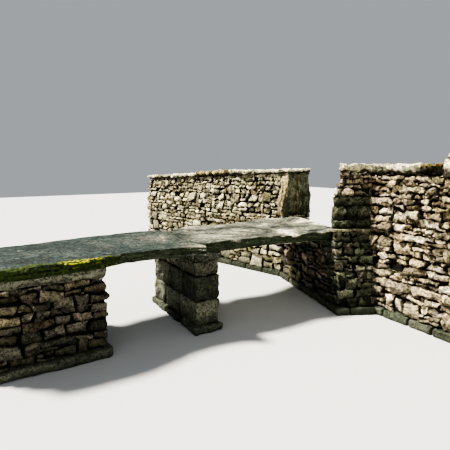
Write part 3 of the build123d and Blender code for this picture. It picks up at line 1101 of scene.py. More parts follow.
@dataclass(frozen=True)
class StoneFinish:
    """The look of one kind of stone.

    Attributes:
        palette: Colours that the stones are picked from.
        mottle: How strongly each stone is clouded.
        lichen: Colour of the lichen.
        lichen_amount: How much of it there is.
        moss: Colour of the moss.
        moss_amount: How much of it there is.
        grime: How dark the stones are towards their joints, as dirt and painted shade in the gaps.
        beneath: How strong the painted shade towards each stone's foot is.
        line: How high up the stone that painted shade starts, from -1 at its foot to 1 at its top.
        crags: How deep the scoops of its broken face are.
        damp_height: How far up the damp reaches from the part's foot.
        damp_amount: How dark the damp is.
        bump: How strong the fine relief is.
        relief: How deep it is.
        roughness: How dull the surface is.
        gloss: How much light glances off it.
        sunny: Colour painted on its span side as painted sunlight, paler than the rest.
    """

    palette: tuple[Colour, ...]
    mottle: float = 0.8
    lichen: Colour = (196, 190, 168)
    lichen_amount: float = 0.30
    moss: Colour = (96, 104, 48)
    moss_amount: float = 0.10
    grime: float = 0.92
    beneath: float = 0.3
    line: float = 0.25
    crags: float = 0.4
    damp_height: float = 0.55
    damp_amount: float = 0.55
    bump: float = 0.95
    relief: float = 0.045
    roughness: float = 0.88
    gloss: float = 0.15
    sunny: Colour | None = None

    def picked(self, graph: Graph, share: Wire) -> Wire:
        """Picks a colour of the palette.

        Args:
            graph: The material's graph.
            share: Where in the palette, from 0 to 1.

        Returns:
            The colour.
        """
        ramp = graph.add("ShaderNodeValToRGB", {0: share})
        elements = ramp.color_ramp.elements
        while len(elements) < len(self.palette):
            elements.new(0.5)
        for index, colour in enumerate(self.palette):
            elements[index].position = index / (len(self.palette) - 1)
            elements[index].color = tint(colour)
        return Wire(graph, ramp.outputs[0])

    def build(self, name: str, groups: dict[str, bpy.types.NodeTree]) -> bpy.types.Material:
        """Makes the material.

        Args:
            name: The material's name.
            groups: The shared shader groups.

        Returns:
            The material.
        """
        material, graph = new_material(name)
        place, tone = graph.place(), graph.mark("tone", "Vector")
        own = place + tone * 9.0
        pick, brightness, _ = graph.split(tone)
        colour = self.picked(graph, pick) * graph.span(brightness, 0.0, 1.0, 0.5, 1.36)
        # Painted sunlight: the side that faces along -X takes the paler sunny colour.
        if self.sunny:
            colour = graph.blend(graph.span(graph.normal()[0], -0.35, -0.7), colour, tint(self.sunny))
        colour, height = graph.placed(
            groups["mottle"], Colour=colour, Vector=own, Scale=6.0, Strength=self.mottle)
        colour, _ = graph.placed(groups["lichen"], Colour=colour, Lichen=tint(self.lichen), Vector=own,
                                 Scale=7.0, Amount=self.lichen_amount)
        colour, mossy = graph.placed(groups["lichen"], Colour=colour, Lichen=tint(self.moss), Vector=place,
                                     Scale=2.3, Amount=self.moss_amount)
        # Painted shade in the gaps and under each stone, with dirt in the joints.
        colour = graph.placed(groups["grime"], Colour=colour, Amount=self.grime, Beneath=self.beneath,
                              Line=self.line)[0]
        colour, damp = graph.placed(groups["damp"], Colour=colour, Height=self.damp_height,
                                    Amount=self.damp_amount)
        scoops = graph.wire(
            "ShaderNodeTexVoronoi", {"Vector": own + height * 0.12, "Scale": 15.0}, "Distance")
        relief = height + mossy * 0.35 + scoops * self.crags
        graph.shade({
            "Base Color": colour, "Roughness": self.roughness - damp * 0.25,
            "Normal": graph.bump(self.bump, self.relief, relief), "Specular IOR Level": self.gloss})
        return material


@dataclass(frozen=True)
class FlagFinish:
    """The look of the riven flagstones: bedding clouds, painted shade and painted sunlight patches on top,
    painted shade on the sides and moss on the edges.

    Attributes:
        body: Colour of the top at the left end, kept dark as painted shade.
        warm: Colour of the top at the right end, paler as painted sunlight.
        pale: Colour of the painted sunlight patches on the top and of the pale specks along its edges, which
            are painted highlights with lichen.
        dark: Colour of the darkest clouds.
        edge: Colour of the split layers on the sides, darkened as painted shade.
        lichen: Colour of the lichen.
        moss: Colour of the moss that the sun reaches.
        shaded_moss: Colour of the other moss.
        paler: Stretch along X over which the top turns from painted shade to painted sunlight.
        sunlit_moss: Stretch along X where the sun reaches the moss, and how far it fades at each end.
        relief: How deep the fine relief is.
    """

    body: Colour = (48, 58, 54)
    warm: Colour = (108, 108, 94)
    pale: Colour = (204, 196, 172)
    dark: Colour = (32, 40, 37)
    edge: Colour = (50, 58, 41)
    lichen: Colour = (190, 190, 172)
    moss: Colour = (146, 148, 34)
    shaded_moss: Colour = (46, 62, 22)
    paler: Shares = (-0.9, 1.0)
    sunlit_moss: tuple[float, float, float] = (-2.3, -1.4, 0.3)
    relief: float = 0.02

    def build(self, name: str, groups: dict[str, bpy.types.NodeTree]) -> bpy.types.Material:
        """Makes the material.

        Args:
            name: The material's name.
            groups: The shared shader groups.

        Returns:
            The material.
        """
        material, graph = new_material(name)
        place = graph.place()
        along, level = graph.split(place)[0], graph.normal()[2]
        clouds = graph.noise(place, 1.1, detail=6.0, roughness=0.6, distortion=0.6)
        streaks = graph.noise(place * (1.0, 2.6, 9.0), 2.4, detail=7.0, roughness=0.65, distortion=1.2)
        pits = graph.noise(place * (1.0, 0.55, 2.0), 21.0, detail=5.0, roughness=0.7)
        crumbs = graph.noise(place, 48.0, detail=3.0)
        tufts = graph.noise(place, 26.0, detail=4.0)
        # Painted shade at the left end turning to painted sunlight at the right end.
        plain = graph.blend(graph.span(along, *self.paler), tint(self.body), tint(self.warm))
        # Painted sunlight patches on the top, most of them at the right end.
        worn = graph.span(clouds, 0.47, 0.6) * graph.span(along, *self.paler, 0.05, 1.0)
        colour = graph.blend(worn, plain, tint(self.pale))
        colour = graph.blend(graph.span(clouds, 0.47, 0.34), colour, tint(self.dark))
        colour = colour * graph.span(streaks, 0.3, 0.7, 0.62, 1.35) * graph.span(pits, 0.36, 0.62, 0.46, 1.42)
        colour, height = graph.placed(groups["mottle"], Colour=colour, Vector=place, Scale=8.0, Strength=0.55)
        # The sides take the dark split-layer colour, which is darkened as painted shade.
        layers = graph.work("MULTIPLY", tint(self.edge)[:3], graph.span(streaks, 0.3, 0.7, 0.25, 1.8))
        layers = layers * graph.span(pits, 0.36, 0.62, 0.6, 1.5)
        colour = graph.blend(graph.span(graph.work("ABSOLUTE", level), 0.8, 0.35), colour, layers)
        # Pale specks along the top arris: painted highlights where the edge catches light, with lichen.
        arris = graph.span(level, 0.15, 0.5) * graph.span(level, 0.99, 0.85)
        arris = arris * graph.span(crumbs, 0.54, 0.7, 0.0, 0.45)
        colour = graph.blend(arris, colour, tint(self.pale))
        colour, _ = graph.placed(groups["lichen"], Colour=colour, Lichen=tint(self.lichen), Vector=place,
                                 Scale=6.0, Amount=0.22)
        cover = graph.span(graph.mark("moss", "Fac") + (tufts - 0.5), 0.42, 0.6)
        start, end, fade = self.sunlit_moss
        sunlit = graph.span(along, start, start + fade) * graph.span(along, end, end - fade)
        # Painted sunlight on the tops of the moss tufts in the sunlit stretch; the rest of the moss is
        # painted shade.
        crown = graph.span(level, 0.2, 0.9) * graph.span(tufts, 0.42, 0.6)
        crown = crown * graph.span(sunlit, 0.0, 1.0, 0.1, 1.0)
        moss = graph.blend(crown, tint(self.shaded_moss), tint(self.moss))
        colour = graph.blend(cover, colour, moss * graph.span(tufts, 0.3, 0.7, 0.35, 1.4))
        height = height + streaks * 1.4 + tufts * cover * 1.5 + pits * 0.7
        graph.shade({
            "Base Color": colour, "Roughness": graph.span(clouds, 0.3, 0.7, 0.7, 0.9),
            "Normal": graph.bump(0.9, self.relief, height), "Specular IOR Level": 0.25})
        return material


@dataclass
class Flagstone:
    """A riven deck slab, cut from the outline of its node.

    Attributes:
        node: The CAD node that it stands for.
        neighbour: The slab that it meets over the pier.
        seed: Start of its edges' random shape.
        mossy: Stretch along X where moss grows on its front edge.
        moss_front: Y where the moss starts.
        moss_depth: How far the moss stands off the edge, at most.
        spacing: Distance between the points of its surface.
        terraces: How many split layers its top has.
        step: Height of one of them.
        ripple: Height of the ripples on them.
        grit: Height of the fine grain on them.
        deepest: How far the top lies below the slab's highest level, at most.
        ledge: How far the layers of its edge stand in and out.
        chips: How deep its edge is chipped.
        arris: How far its worn edge is let back.
        layers: How many layers show in its edge.
        under_relief: How uneven its underside is.
        crease: Angle from which an edge looks sharp, in degrees.
    """

    node: str
    neighbour: str
    seed: float
    mossy: Shares = (0.0, 0.0)
    moss_front: float = -0.83
    moss_depth: float = 0.03
    spacing: float = 0.024
    terraces: float = 5.0
    step: float = 0.005
    ripple: float = 0.0022
    grit: float = 0.0012
    deepest: float = 0.04
    ledge: float = 0.024
    chips: float = 0.009
    arris: float = 0.012
    layers: int = 7
    under_relief: float = 0.005
    crease: float = 48

    @staticmethod
    def rim(node: str) -> np.ndarray:
        """Reads a node's top face.

        Args:
            node: The node.

        Returns:
            The face's corners, anticlockwise.
        """
        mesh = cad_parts[node].data
        top = max(vertex.co.z for vertex in mesh.vertices)
        steps = {}
        for polygon in mesh.polygons:
            if min(mesh.vertices[i].co.z for i in polygon.vertices) > top - 1e-3:
                ring = list(polygon.vertices)
                steps |= {(a, b): True for a, b in zip(ring, ring[1:] + ring[:1])}
        following = {a: b for a, b in steps if (b, a) not in steps}
        start = next(iter(following))
        ring = [start]
        while following[ring[-1]] != start:
            ring.append(following[ring[-1]])
        return np.array([tuple(mesh.vertices[i].co)[:2] for i in ring])

    def outline(self) -> np.ndarray:
        """Eases the corners of the top outline.

        Returns:
            The outline, with its points evenly spaced.
        """
        loop = self.rim(self.node)
        for _ in range(2):
            following = np.roll(loop, -1, axis=0)
            eased = [loop * (1 - share) + following * share for share in (0.2, 0.8)]
            loop = np.stack(eased, axis=1).reshape(-1, 2)
        closed = np.vstack([loop, loop[:1]])
        lengths = np.r_[0, np.cumsum(np.linalg.norm(np.diff(closed, axis=0), axis=1))]
        marks = np.linspace(0, lengths[-1], int(lengths[-1] / self.spacing), endpoint=False)
        return np.c_[np.interp(marks, lengths, closed[:, 0]), np.interp(marks, lengths, closed[:, 1])]

    def drop(self, x: float, y: float) -> float:
        """Shapes the riven top, in one pattern for both slabs.

        Args:
            x: Place along the deck.
            y: Place across it.

        Returns:
            How far the top lies below the slab's highest level.
        """
        broad = wander(x * 0.55, y * 0.8, 3.1) * 0.5 + 0.5
        layers = (broad + 0.35 * wander(x * 1.7, y * 2.6, 7.1)) * self.terraces
        whole = math.floor(layers)
        edge = clamp((layers - whole - 0.42) / 0.16)
        terrace = whole + edge * edge * (3 - 2 * edge)
        ripple = wander(x * 6.0 + y * 2.0, y * 11.0, 12.1) * self.ripple
        grit = wander(x * 17.0, y * 23.0, 5.1) * self.grit
        return clamp(self.step * (self.terraces - terrace) + ripple + grit, 0.0, self.deepest)

    def growth(self, point: tuple[float, float, float]) -> float:
        """Spreads the moss.

        Args:
            point: A point of the slab.

        Returns:
            How mossy it is, from 0 to 1.
        """
        start, end = self.mossy
        if end <= start:
            return 0.0
        x, y, z = point
        along = clamp((x - start) / 0.9) * clamp((end - x) / 0.4)
        front = clamp((self.moss_front - y) / 0.13)
        patch = 0.8 + 0.35 * wander(x * 4.1, y * 4.1, 7.7)
        patch += 0.25 * wander(x * 11, z * 15, 2.1)
        return clamp(along * front * patch)

    def ring(self, layer: int, loop: np.ndarray, free: list[float], low: float,
             high: float) -> list[tuple[float, float, float]]:
        """Points around the edge at the foot of one split layer.

        Args:
            layer: Which layer, from 0 at the top.
            loop: The slab's outline.
            free: How far each point may stray from it, from 0 to 1.
            low: Level of the underside.
            high: Level of the top.

        Returns:
            The points, anticlockwise.
        """
        normals = np.roll(loop, -1, axis=0) - np.roll(loop, 1, axis=0)
        normals = np.c_[normals[:, 1], -normals[:, 0]] / np.linalg.norm(normals, axis=1)[:, None]
        share = layer / self.layers
        worn = self.arris * (max(0.0, 1 - share * 4) ** 2 + 0.8 * max(0.0, share * 4 - 3) ** 2)
        points = []
        for (x, y), out, loose in zip(loop, normals, free):
            bed = wander(x * 2.2 + layer * 3.7, y * 2.2, self.seed + layer * 1.9)
            bed += 0.6 * wander(x * 6.0 + layer * 1.3, y * 6.0, self.seed + layer * 2.3)
            chip = wander(x * 9.0, y * 9.0, self.seed + share * 4.0)
            inset = self.ledge * (0.55 + 0.5 * bed) + self.chips * (chip + 1)
            place = (x, y) - out * (inset + worn) * loose
            lump = max(0.0, wander(place[0] * 14, place[1] * 14, share * 4.0) + 0.35)
            place = place + out * self.moss_depth * self.growth((*place, high)) * lump * (1 - share)
            depth = self.drop(*place) * (1 - share) + 0.004 * share * (1 + chip)
            points.append((*place, mix(high, low, share) - depth * (1 if share < 1 else -1)))
        return points

    def build(self, material: bpy.types.Material) -> bpy.types.Object:
        """Makes the slab.

        Args:
            material: The finish.

        Returns:
            The piece.
        """
        low, high = (corner[2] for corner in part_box(self.node))
        loop, other = self.outline(), self.rim(self.neighbour)
        count = len(loop)
        ends = np.roll(other, -1, axis=0)
        free = [clamp((distance_to(point, other, ends) - 0.02) / 0.06, 0.12) for point in loop]
        rings = [self.ring(layer, loop, free, low, high) for layer in range(self.layers + 1)]
        points = [point for ring in rings for point in ring]
        faces = [(start + a, start + a + count, start + b + count, start + b)
                 for start in range(0, self.layers * count, count)
                 for a, b in ((index, (index + 1) % count) for index in range(count))]
        top_points, top_faces = self.sheet(rings[0])
        under_points, under_faces = self.sheet(rings[-1])
        inner = len(points) - count
        points += [(x, y, high - self.drop(x, y)) for x, y in top_points[count:]]
        faces += [tuple(v if v < count else inner + v for v in face) for face in top_faces]
        last, inner = self.layers * count, len(points) - count
        points += [(x, y, low + self.under_relief * (1 + wander(x * 3, y * 3, self.seed)))
                   for x, y in under_points[count:]]
        faces += [tuple(last + v if v < count else inner + v for v in face[::-1]) for face in under_faces]
        mesh = bpy.data.meshes.new(self.node + "_riven")
        mesh.from_pydata(points, [], faces)
        mesh.shade_smooth()
        mesh.set_sharp_from_angle(angle=math.radians(self.crease))
        moss = mesh.attributes.new("moss", "FLOAT", "POINT")
        moss.data.foreach_set("value", [self.growth(point) for point in points])
        mesh.materials.append(material)
        return add_piece(self.node + "_riven", mesh)

    def sheet(self, ring: list[tuple[float, float, float]]) -> tuple[list[Shares], list[tuple[int, ...]]]:
        """Fills a ring with an even net of triangles.

        Args:
            ring: Its points, anticlockwise.

        Returns:
            The points, ring first, and the triangles.
        """
        loop = np.array(ring)[:, :2]
        inside = []
        row_height = self.spacing * 0.87
        y_low, y_high = loop[:, 1].min(), loop[:, 1].max()
        edges = np.stack([loop, np.roll(loop, -1, axis=0)], axis=1)
        for line in range(int((y_high - y_low) / row_height)):
            y = y_low + (line + 0.5) * row_height
            crossing = (edges[:, 0, 1] > y) != (edges[:, 1, 1] > y)
            first, second = edges[crossing, 0], edges[crossing, 1]
            run = second - first
            hits = np.sort(first[:, 0] + (y - first[:, 1]) / run[:, 1] * run[:, 0])
            for left, right in zip(hits[::2], hits[1::2]):
                start = left + self.spacing * (0.7 + 0.5 * (line % 2))
                inside += [(x, y) for x in np.arange(start, right - self.spacing * 0.6, self.spacing)]
        clear = np.array(inside)
        near = np.array([np.min(np.sum((loop - point) ** 2, axis=1)) for point in clear])
        clear = clear[near > (self.spacing * 0.55) ** 2]
        points = [Vector(point) for point in loop] + [Vector(point) for point in clear]
        border = [(index, (index + 1) % len(loop)) for index in range(len(loop))]
        flat, _, faces, _, _, _ = delaunay_2d_cdt(points, border, [], 1, 1e-6)
        return [tuple(point) for point in flat], [tuple(face) for face in faces]


def distance_to(point: np.ndarray, starts: np.ndarray, ends: np.ndarray) -> float:
    """Measures from a point to the nearest of some line pieces.

    Args:
        point: The point.
        starts: Where the line pieces start.
        ends: Where they end.

    Returns:
        The distance.
    """
    runs = ends - starts
    shares = np.clip(np.sum((point - starts) * runs, axis=1) / np.sum(runs * runs, axis=1), 0, 1)
    return float(np.min(np.linalg.norm(starts + runs * shares[:, None] - point, axis=1)))


@dataclass(frozen=True)
class Dressing:
    """How the stones of a piece are cut and finished.

    Attributes:
        slot: The record's slot.
        cut: How finely the stones are cut.
        surface: How the stone breaks.
        radius: How round the edges of squared stones are.
        finish: The material, where it isn't the slot's own.
        undercut: How far the foot of a squared stone's long sides is broken back.
    """

    slot: str
    cut: Cut = Cut.BLOCK
    surface: Surface = Surface()
    radius: float = 0.02
    finish: str | None = None
    undercut: float = 0.0


WEATHERED = Surface(chip_scale=6.0, chip_depth=0.03, facet_scale=8.0, facet_depth=0.052)
FLAT = Surface(chip_depth=0.012, facet_depth=0.010)
HACKED = Surface(chip_depth=0.03, facet_depth=0.034)
FOOTING = Dressing("pier_stone", Cut.SLAB, FLAT, 0.03)


@dataclass
class Mason:
    """Builds the pieces of laid stone and hands them to the frame.

    Attributes:
        shaper: The tree that shapes stones.
        finishes: Materials by name.
        easing: How far the corners of squared stones are worn back, at most.
        wear: The same, as a share of the way to the stone's middle.
        gap: Usual space between squared stones.
        undercuts: Share of the undercut at a stone's foot, middle and top.
        undercut_spread: Undercut of a stone, as a share of the usual one.
        radius_spread: Radius of its edges, likewise.
        slab_deep: Shares of its node's depth that a coping slab fills.
        slab_foot: Share of its node's height at which it starts.
        packing_joints: Where the small stones under it meet.
        packing_deep: Shares of the depth that they fill.
        packing_high: Shares of the height that they fill.
        bed_high: Shares of the height that the filling between them fills.
        bed_inset: How far that lies behind the node's faces.
    """

    shaper: StoneShaper
    finishes: dict[str, bpy.types.Material]
    easing: float = 0.014
    wear: float = 0.07
    gap: float = 0.012
    undercuts: tuple[float, float, float] = (1.0, 0.45, 0.0)
    undercut_spread: Shares = (0.5, 1.3)
    radius_spread: Shares = (0.8, 1.3)
    slab_deep: Shares = (-0.05, 1.0)
    slab_foot: float = 0.16
    packing_joints: Joints = (0.3, 0.55, 0.8)
    packing_deep: Shares = (0.2, 0.82)
    packing_high: Shares = (-0.05, 0.4)
    bed_high: Shares = (0, 0.6)
    bed_inset: float = 0.09

    def hand_over(self, piece: bpy.types.Object, slot: str, *nodes: str) -> None:
        """Attaches a finished piece to the root body and hides the nodes that it stands for.

        Args:
            piece: The piece.
            slot: The record's slot. Not used.
            *nodes: The nodes that it stands for.
        """
        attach(piece, ROOT)
        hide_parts(*nodes)
        LOG.info("%s: %d faces", piece.name, len(piece.data.polygons))

    def shaped(self, bed: StoneBed, name: str, nodes: tuple[str, ...], dressing: Dressing) -> None:
        """Makes a piece of the stones on a bed."""
        material = self.finishes[dressing.finish or dressing.slot]
        self.hand_over(self.shaper.shape(bed, name, dressing, material), dressing.slot, *nodes)

    def rubble(self, name: str, node: str, mass: RubbleMass, seed: int, dressing: Dressing) -> None:
        """Makes a piece of rubble and the filling behind it.

        Args:
            name: The piece's name.
            node: The node that it stands for.
            mass: The mass that it is laid in.
            seed: Start of its random numbers.
            dressing: How its stones are cut and finished.
        """
        bed = StoneBed(seed)
        mass.lay(bed)
        self.shaped(bed, name, (node,), dressing)
        # Near-black filling behind the rubble, as painted shade in the gaps.
        self.fill(name + "_hearting", dressing.slot, {node: mass.posts}, mass.style.hearting)

    def blocks(self, name: str, nodes: tuple[str, ...], stones: list[np.ndarray], seed: int,
               dressing: Dressing) -> None:
        """Makes a piece of squared stones.

        Args:
            name: The piece's name.
            nodes: The nodes that it stands for.
            stones: Eight corners for each stone.
            seed: Start of its random numbers.
            dressing: How its stones are cut and finished.
        """
        bed = StoneBed(seed)
        dice = bed.dice
        for corners in stones:
            middle = corners.mean(axis=0)
            pulls = np.array([[dice.uniform(0.0, self.wear) for _ in range(3)] for _ in corners])
            eased = np.clip((middle - corners) * pulls, -self.easing, self.easing)
            eased[:4, 2] = 0.0
            net = block_net(corners + eased)
            inward = unit(net[9:].mean(axis=0) - net[:9].mean(axis=0))
            for index, point in enumerate(net):
                share = self.undercuts[index % 9 // 3]
                foot = dressing.undercut * share * dice.uniform(*self.undercut_spread)
                point += inward * foot * (1 if index < 9 else -1)
            bed.lay(net, dressing.radius * dice.uniform(*self.radius_spread))
        self.shaped(bed, name, nodes, dressing)

    def course(self, name: str, node: str, joints: Joints, seed: int, dressing: Dressing,
               gap: float | None = None, facing: np.ndarray = SPAN_SIDE) -> None:
        """Makes a piece of squared stones that fill one node, in a row along its facing side."""
        stones = row(node_posts(node, facing), joints, self.gap if gap is None else gap)
        self.blocks(name, (node,), stones, seed, dressing)

    def footing(self, wall: str, joints: Joints, seed: int, facing: np.ndarray = SPAN_SIDE) -> None:
        """Makes the footing stones of a wall."""
        self.course(f"{wall}_footing_stones", f"{wall}_footing", joints, seed, FOOTING, facing=facing)

    def fill(self, name: str, slot: str, gaps: dict[str, list[Post]], inset: float,
             high: Shares = WHOLE) -> None:
        """Makes the near-black filling behind or between the stones of some nodes, set back by the inset, as
        painted shade in the gaps.
        """
        cores = [inner_block(posts, inset, high) for posts in gaps.values()]
        self.hand_over(add_piece(name, box_mesh(name, cores, self.finishes["hearting"])), slot, *gaps)

    def coping(self, node: str, seed: int, facing: np.ndarray = SPAN_SIDE, top: float = 1.0,
               finish: str = "coping_stone") -> None:
        """Makes a coping slab with its overhang, on small stones that are set back under it.

        Args:
            node: The node that it stands for.
            seed: Start of its random numbers.
            facing: Where its long face looks.
            top: Share of the node's height that it reaches.
            finish: The material.
        """
        posts = node_posts(node, facing)
        slab = Dressing("coping_stone", Cut.BLOCK, WEATHERED, 0.018, finish, undercut=0.10)
        stone = row(posts, (), self.gap, self.slab_deep, (self.slab_foot, top))
        self.blocks(node + "_stone", (node,), stone, seed, slab)
        under = row(posts, self.packing_joints, 0.02, self.packing_deep, self.packing_high)
        self.blocks(node + "_packing", (node,), under, seed + 100,
                    Dressing("coping_stone", Cut.USUAL, WEATHERED, finish="downstream_rubble"))
        # Near-black filling under the slab, as painted shade in the recess.
        self.fill(node + "_bed", "coping_stone", {node: posts}, self.bed_inset, self.bed_high)


@dataclass
class Deck:
    """The two flagstones of the deck."""

    left: Flagstone = field(default_factory=lambda: Flagstone("left_slab", "right_slab", 3.1, (-3.4, -0.98)))
    right: Flagstone = field(default_factory=lambda: Flagstone("right_slab", "left_slab", 8.4))

    def build(self, mason: Mason) -> None:
        """Makes both slabs."""
        for stone in (self.left, self.right):
            mason.hand_over(stone.build(mason.finishes["riven_flagstone"]), "deck_flagstone", stone.node)


@dataclass
class Pier:
    """The pier between the spans: a footing, three courses of big blocks and a flat capstone."""

    courses: tuple[tuple[str, Joints], ...] = (
        ("pier_footing", (0.36, 0.7)), ("pier_lower_course", (0.3, 0.66)),
        ("pier_middle_course", (0.42, 0.74)), ("pier_upper_course", (0.35, 0.62)))
    cap_joints: Joints = (0.52,)
    hewn: Surface = Surface(chip_scale=5.0, chip_depth=0.03, facet_scale=9.0, facet_depth=0.03)
    seed: int = 11

    def build(self, mason: Mason) -> None:
        """Lays the pier's courses.

        Args:
            mason: What makes the pieces.
        """
        stones = [stone for node, joints in self.courses
                  for stone in row(node_posts(node), joints, mason.gap)]
        mason.blocks("pier_blocks", tuple(node for node, _ in self.courses), stones, self.seed,
                     Dressing("pier_stone", Cut.BLOCK, self.hewn, 0.03))
        mason.course("pier_cap", "pier_capstone", self.cap_joints, self.seed + 1,
                     Dressing("deck_flagstone", Cut.SLAB, radius=0.015, finish="cap_flagstone"), gap=0.01)


@dataclass
class Abutment:
    """An abutment: big footing stones, rubble and a flat bearing course under the slab's end.

    Attributes:
        side: Which end of the deck it carries, left or right.
        seed: Start of its random numbers.
        hidden: Sides of its rubble that aren't dressed.
        masonry: How its rubble is laid.
        surface: How its squared stones break.
        footing_joints: Where the stones of its footing meet.
        bearing_joints: Where the stones under the slab meet.
    """

    side: str
    seed: int
    hidden: dict[int, float] = field(default_factory=dict)
    masonry: Masonry = Masonry(course=0.135, length=0.27, depth=0.2, proud=0.04, tilt=0.34, skew=0.42)
    surface: Surface = Surface(chip_depth=0.024, facet_depth=0.026)
    footing_joints: Joints = (0.24, 0.52, 0.77)
    bearing_joints: Joints = (0.27, 0.55, 0.8)

    def build(self, mason: Mason) -> None:
        """Lays the abutment.

        Args:
            mason: What makes the pieces.
        """
        mass = f"{self.side}_abutment"
        mason.course(f"{self.side}_footing_stones", f"{mass}_footing", self.footing_joints, self.seed,
                     Dressing("pier_stone", Cut.SLAB, self.surface, 0.03))
        rubble = RubbleMass(node_posts(mass), self.masonry, self.hidden)
        mason.rubble(f"{mass}_rubble", mass, rubble, self.seed + 1,
                     Dressing("abutment_rubble", Cut.USUAL, HACKED))
        mason.course(f"{self.side}_bearing_stones", f"{self.side}_bearing_course", self.bearing_joints,
                     self.seed + 2, Dressing("pier_stone", Cut.SLAB, self.surface), gap=0.01)


@dataclass
class DownstreamWall:
    """The near wall: laid rubble under coping that is set back and steps up."""

    masonry: Masonry = Masonry(
        course=0.125, length=0.26, depth=0.2, proud=0.05, tilt=0.42, bulge=0.12, facet=0.024,
        jump=0.08, split=0.26, skew=0.5, missing=0.045)
    surface: Surface = Surface(chip_scale=8.0, chip_depth=0.04, facet_scale=13.0, facet_depth=0.045)
    footing_joints: Joints = (0.16, 0.33, 0.52, 0.68, 0.85)
    tall_joints: Joints = (0.3, 0.66)
    top_joints: Joints = (0.45,)
    seed: int = 40

    def build(self, mason: Mason) -> None:
        """Lays the wall from its footing to its coping.

        Args:
            mason: What makes the pieces.
        """
        mason.footing("downstream", self.footing_joints, self.seed)
        mass = RubbleMass(node_posts("downstream_wall"), self.masonry)
        mason.rubble("downstream_rubble_stones", "downstream_wall", mass, self.seed + 1,
                     Dressing("downstream_rubble", Cut.USUAL, self.surface))
        mason.coping("downstream_coping_1", self.seed + 5)
        mason.coping("downstream_coping_2", self.seed + 6)
        mason.coping("downstream_coping_3", self.seed + 7, top=1.4, finish="recessed_coping")
        mason.course("downstream_tall_coping_stones", "downstream_tall_coping", self.tall_joints,
                     self.seed + 10, Dressing("coping_stone", radius=0.03))
        mason.course("downstream_top_slab_stone", "downstream_top_slab", self.top_joints,
                     self.seed + 11, Dressing("coping_stone", Cut.SLAB, FLAT), gap=0.01)


@dataclass
class Wing:
    """The wing at the gateway's near corner: rubble, a thin ledge, long end stones, rubble and coping."""

    base: Masonry = Masonry(course=0.135, length=0.24, depth=0.16, proud=0.04, tilt=0.4)
    top: Masonry = Masonry(
        course=0.09, length=0.17, depth=0.10, tilt=0.3, facet=0.016, skew=0.4, hearting=0.06)
    rubble: Surface = Surface(chip_scale=8.0, chip_depth=0.032, facet_scale=13.0, facet_depth=0.04)
    quoins: Surface = Surface(chip_scale=7.0, chip_depth=0.034, facet_scale=10.0, facet_depth=0.045)
    ledge: Surface = Surface(chip_depth=0.010, facet_depth=0.006)
    face: tuple[float, float, float] = (-0.45, -0.89, 0.0)
    ledge_joints: Joints = (0.47,)
    footing_joints: Joints = (0.35,)
    rows: tuple[tuple[str, Joints], ...] = (
        ("wing_quoin_lower", (0.52,)), ("wing_quoin_middle", (0.33, 0.66)), ("wing_quoin_upper", (0.84,)))
    row_gap: float = 0.014
    core_inset: float = 0.07
    seed: int = 60

    def build(self, mason: Mason) -> None:
        """Lays the wing from its footing to its coping.

        Args:
            mason: What makes the pieces.
        """
        facing = np.array(self.face)
        mason.footing("wing", self.footing_joints, self.seed, facing)
        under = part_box("right_bearing_course")[1].z
        base = RubbleMass(node_posts("wing_base", facing), self.base, {1: ALWAYS_HIDDEN, 2: under})
        top = RubbleMass(node_posts("wing_top", facing), self.top, {1: ALWAYS_HIDDEN})
        # The rubble below the ledge takes the darker copy of the rubble, as painted shade.
        mason.rubble("wing_base_rubble", "wing_base", base, self.seed + 1,
                     Dressing("downstream_rubble", Cut.FINE, self.rubble, finish="wing_rubble"))
        mason.rubble("wing_top_rubble", "wing_top", top, self.seed + 2,
                     Dressing("downstream_rubble", Cut.FINE, self.rubble))
        mason.course("wing_ledge_stones", "wing_through_course", self.ledge_joints, self.seed + 3,
                     Dressing("coping_stone", Cut.SLAB, self.ledge, 0.012, "ledge_stone"),
                     gap=0.006, facing=facing)
        posts = {node: node_posts(node, facing) for node, _ in self.rows}
        stones = [stone for node, joints in self.rows for stone in row(posts[node], joints, self.row_gap)]
        # Near-black filling, as painted shade between the end stones.
        mason.fill("wing_core", "quoin_stone", posts, self.core_inset)
        mason.blocks("wing_end_stones", tuple(posts), stones, self.seed + 4,
                     Dressing("quoin_stone", Cut.BLOCK, self.quoins, 0.03, undercut=0.02))
        mason.coping("wing_coping", self.seed + 5, facing)


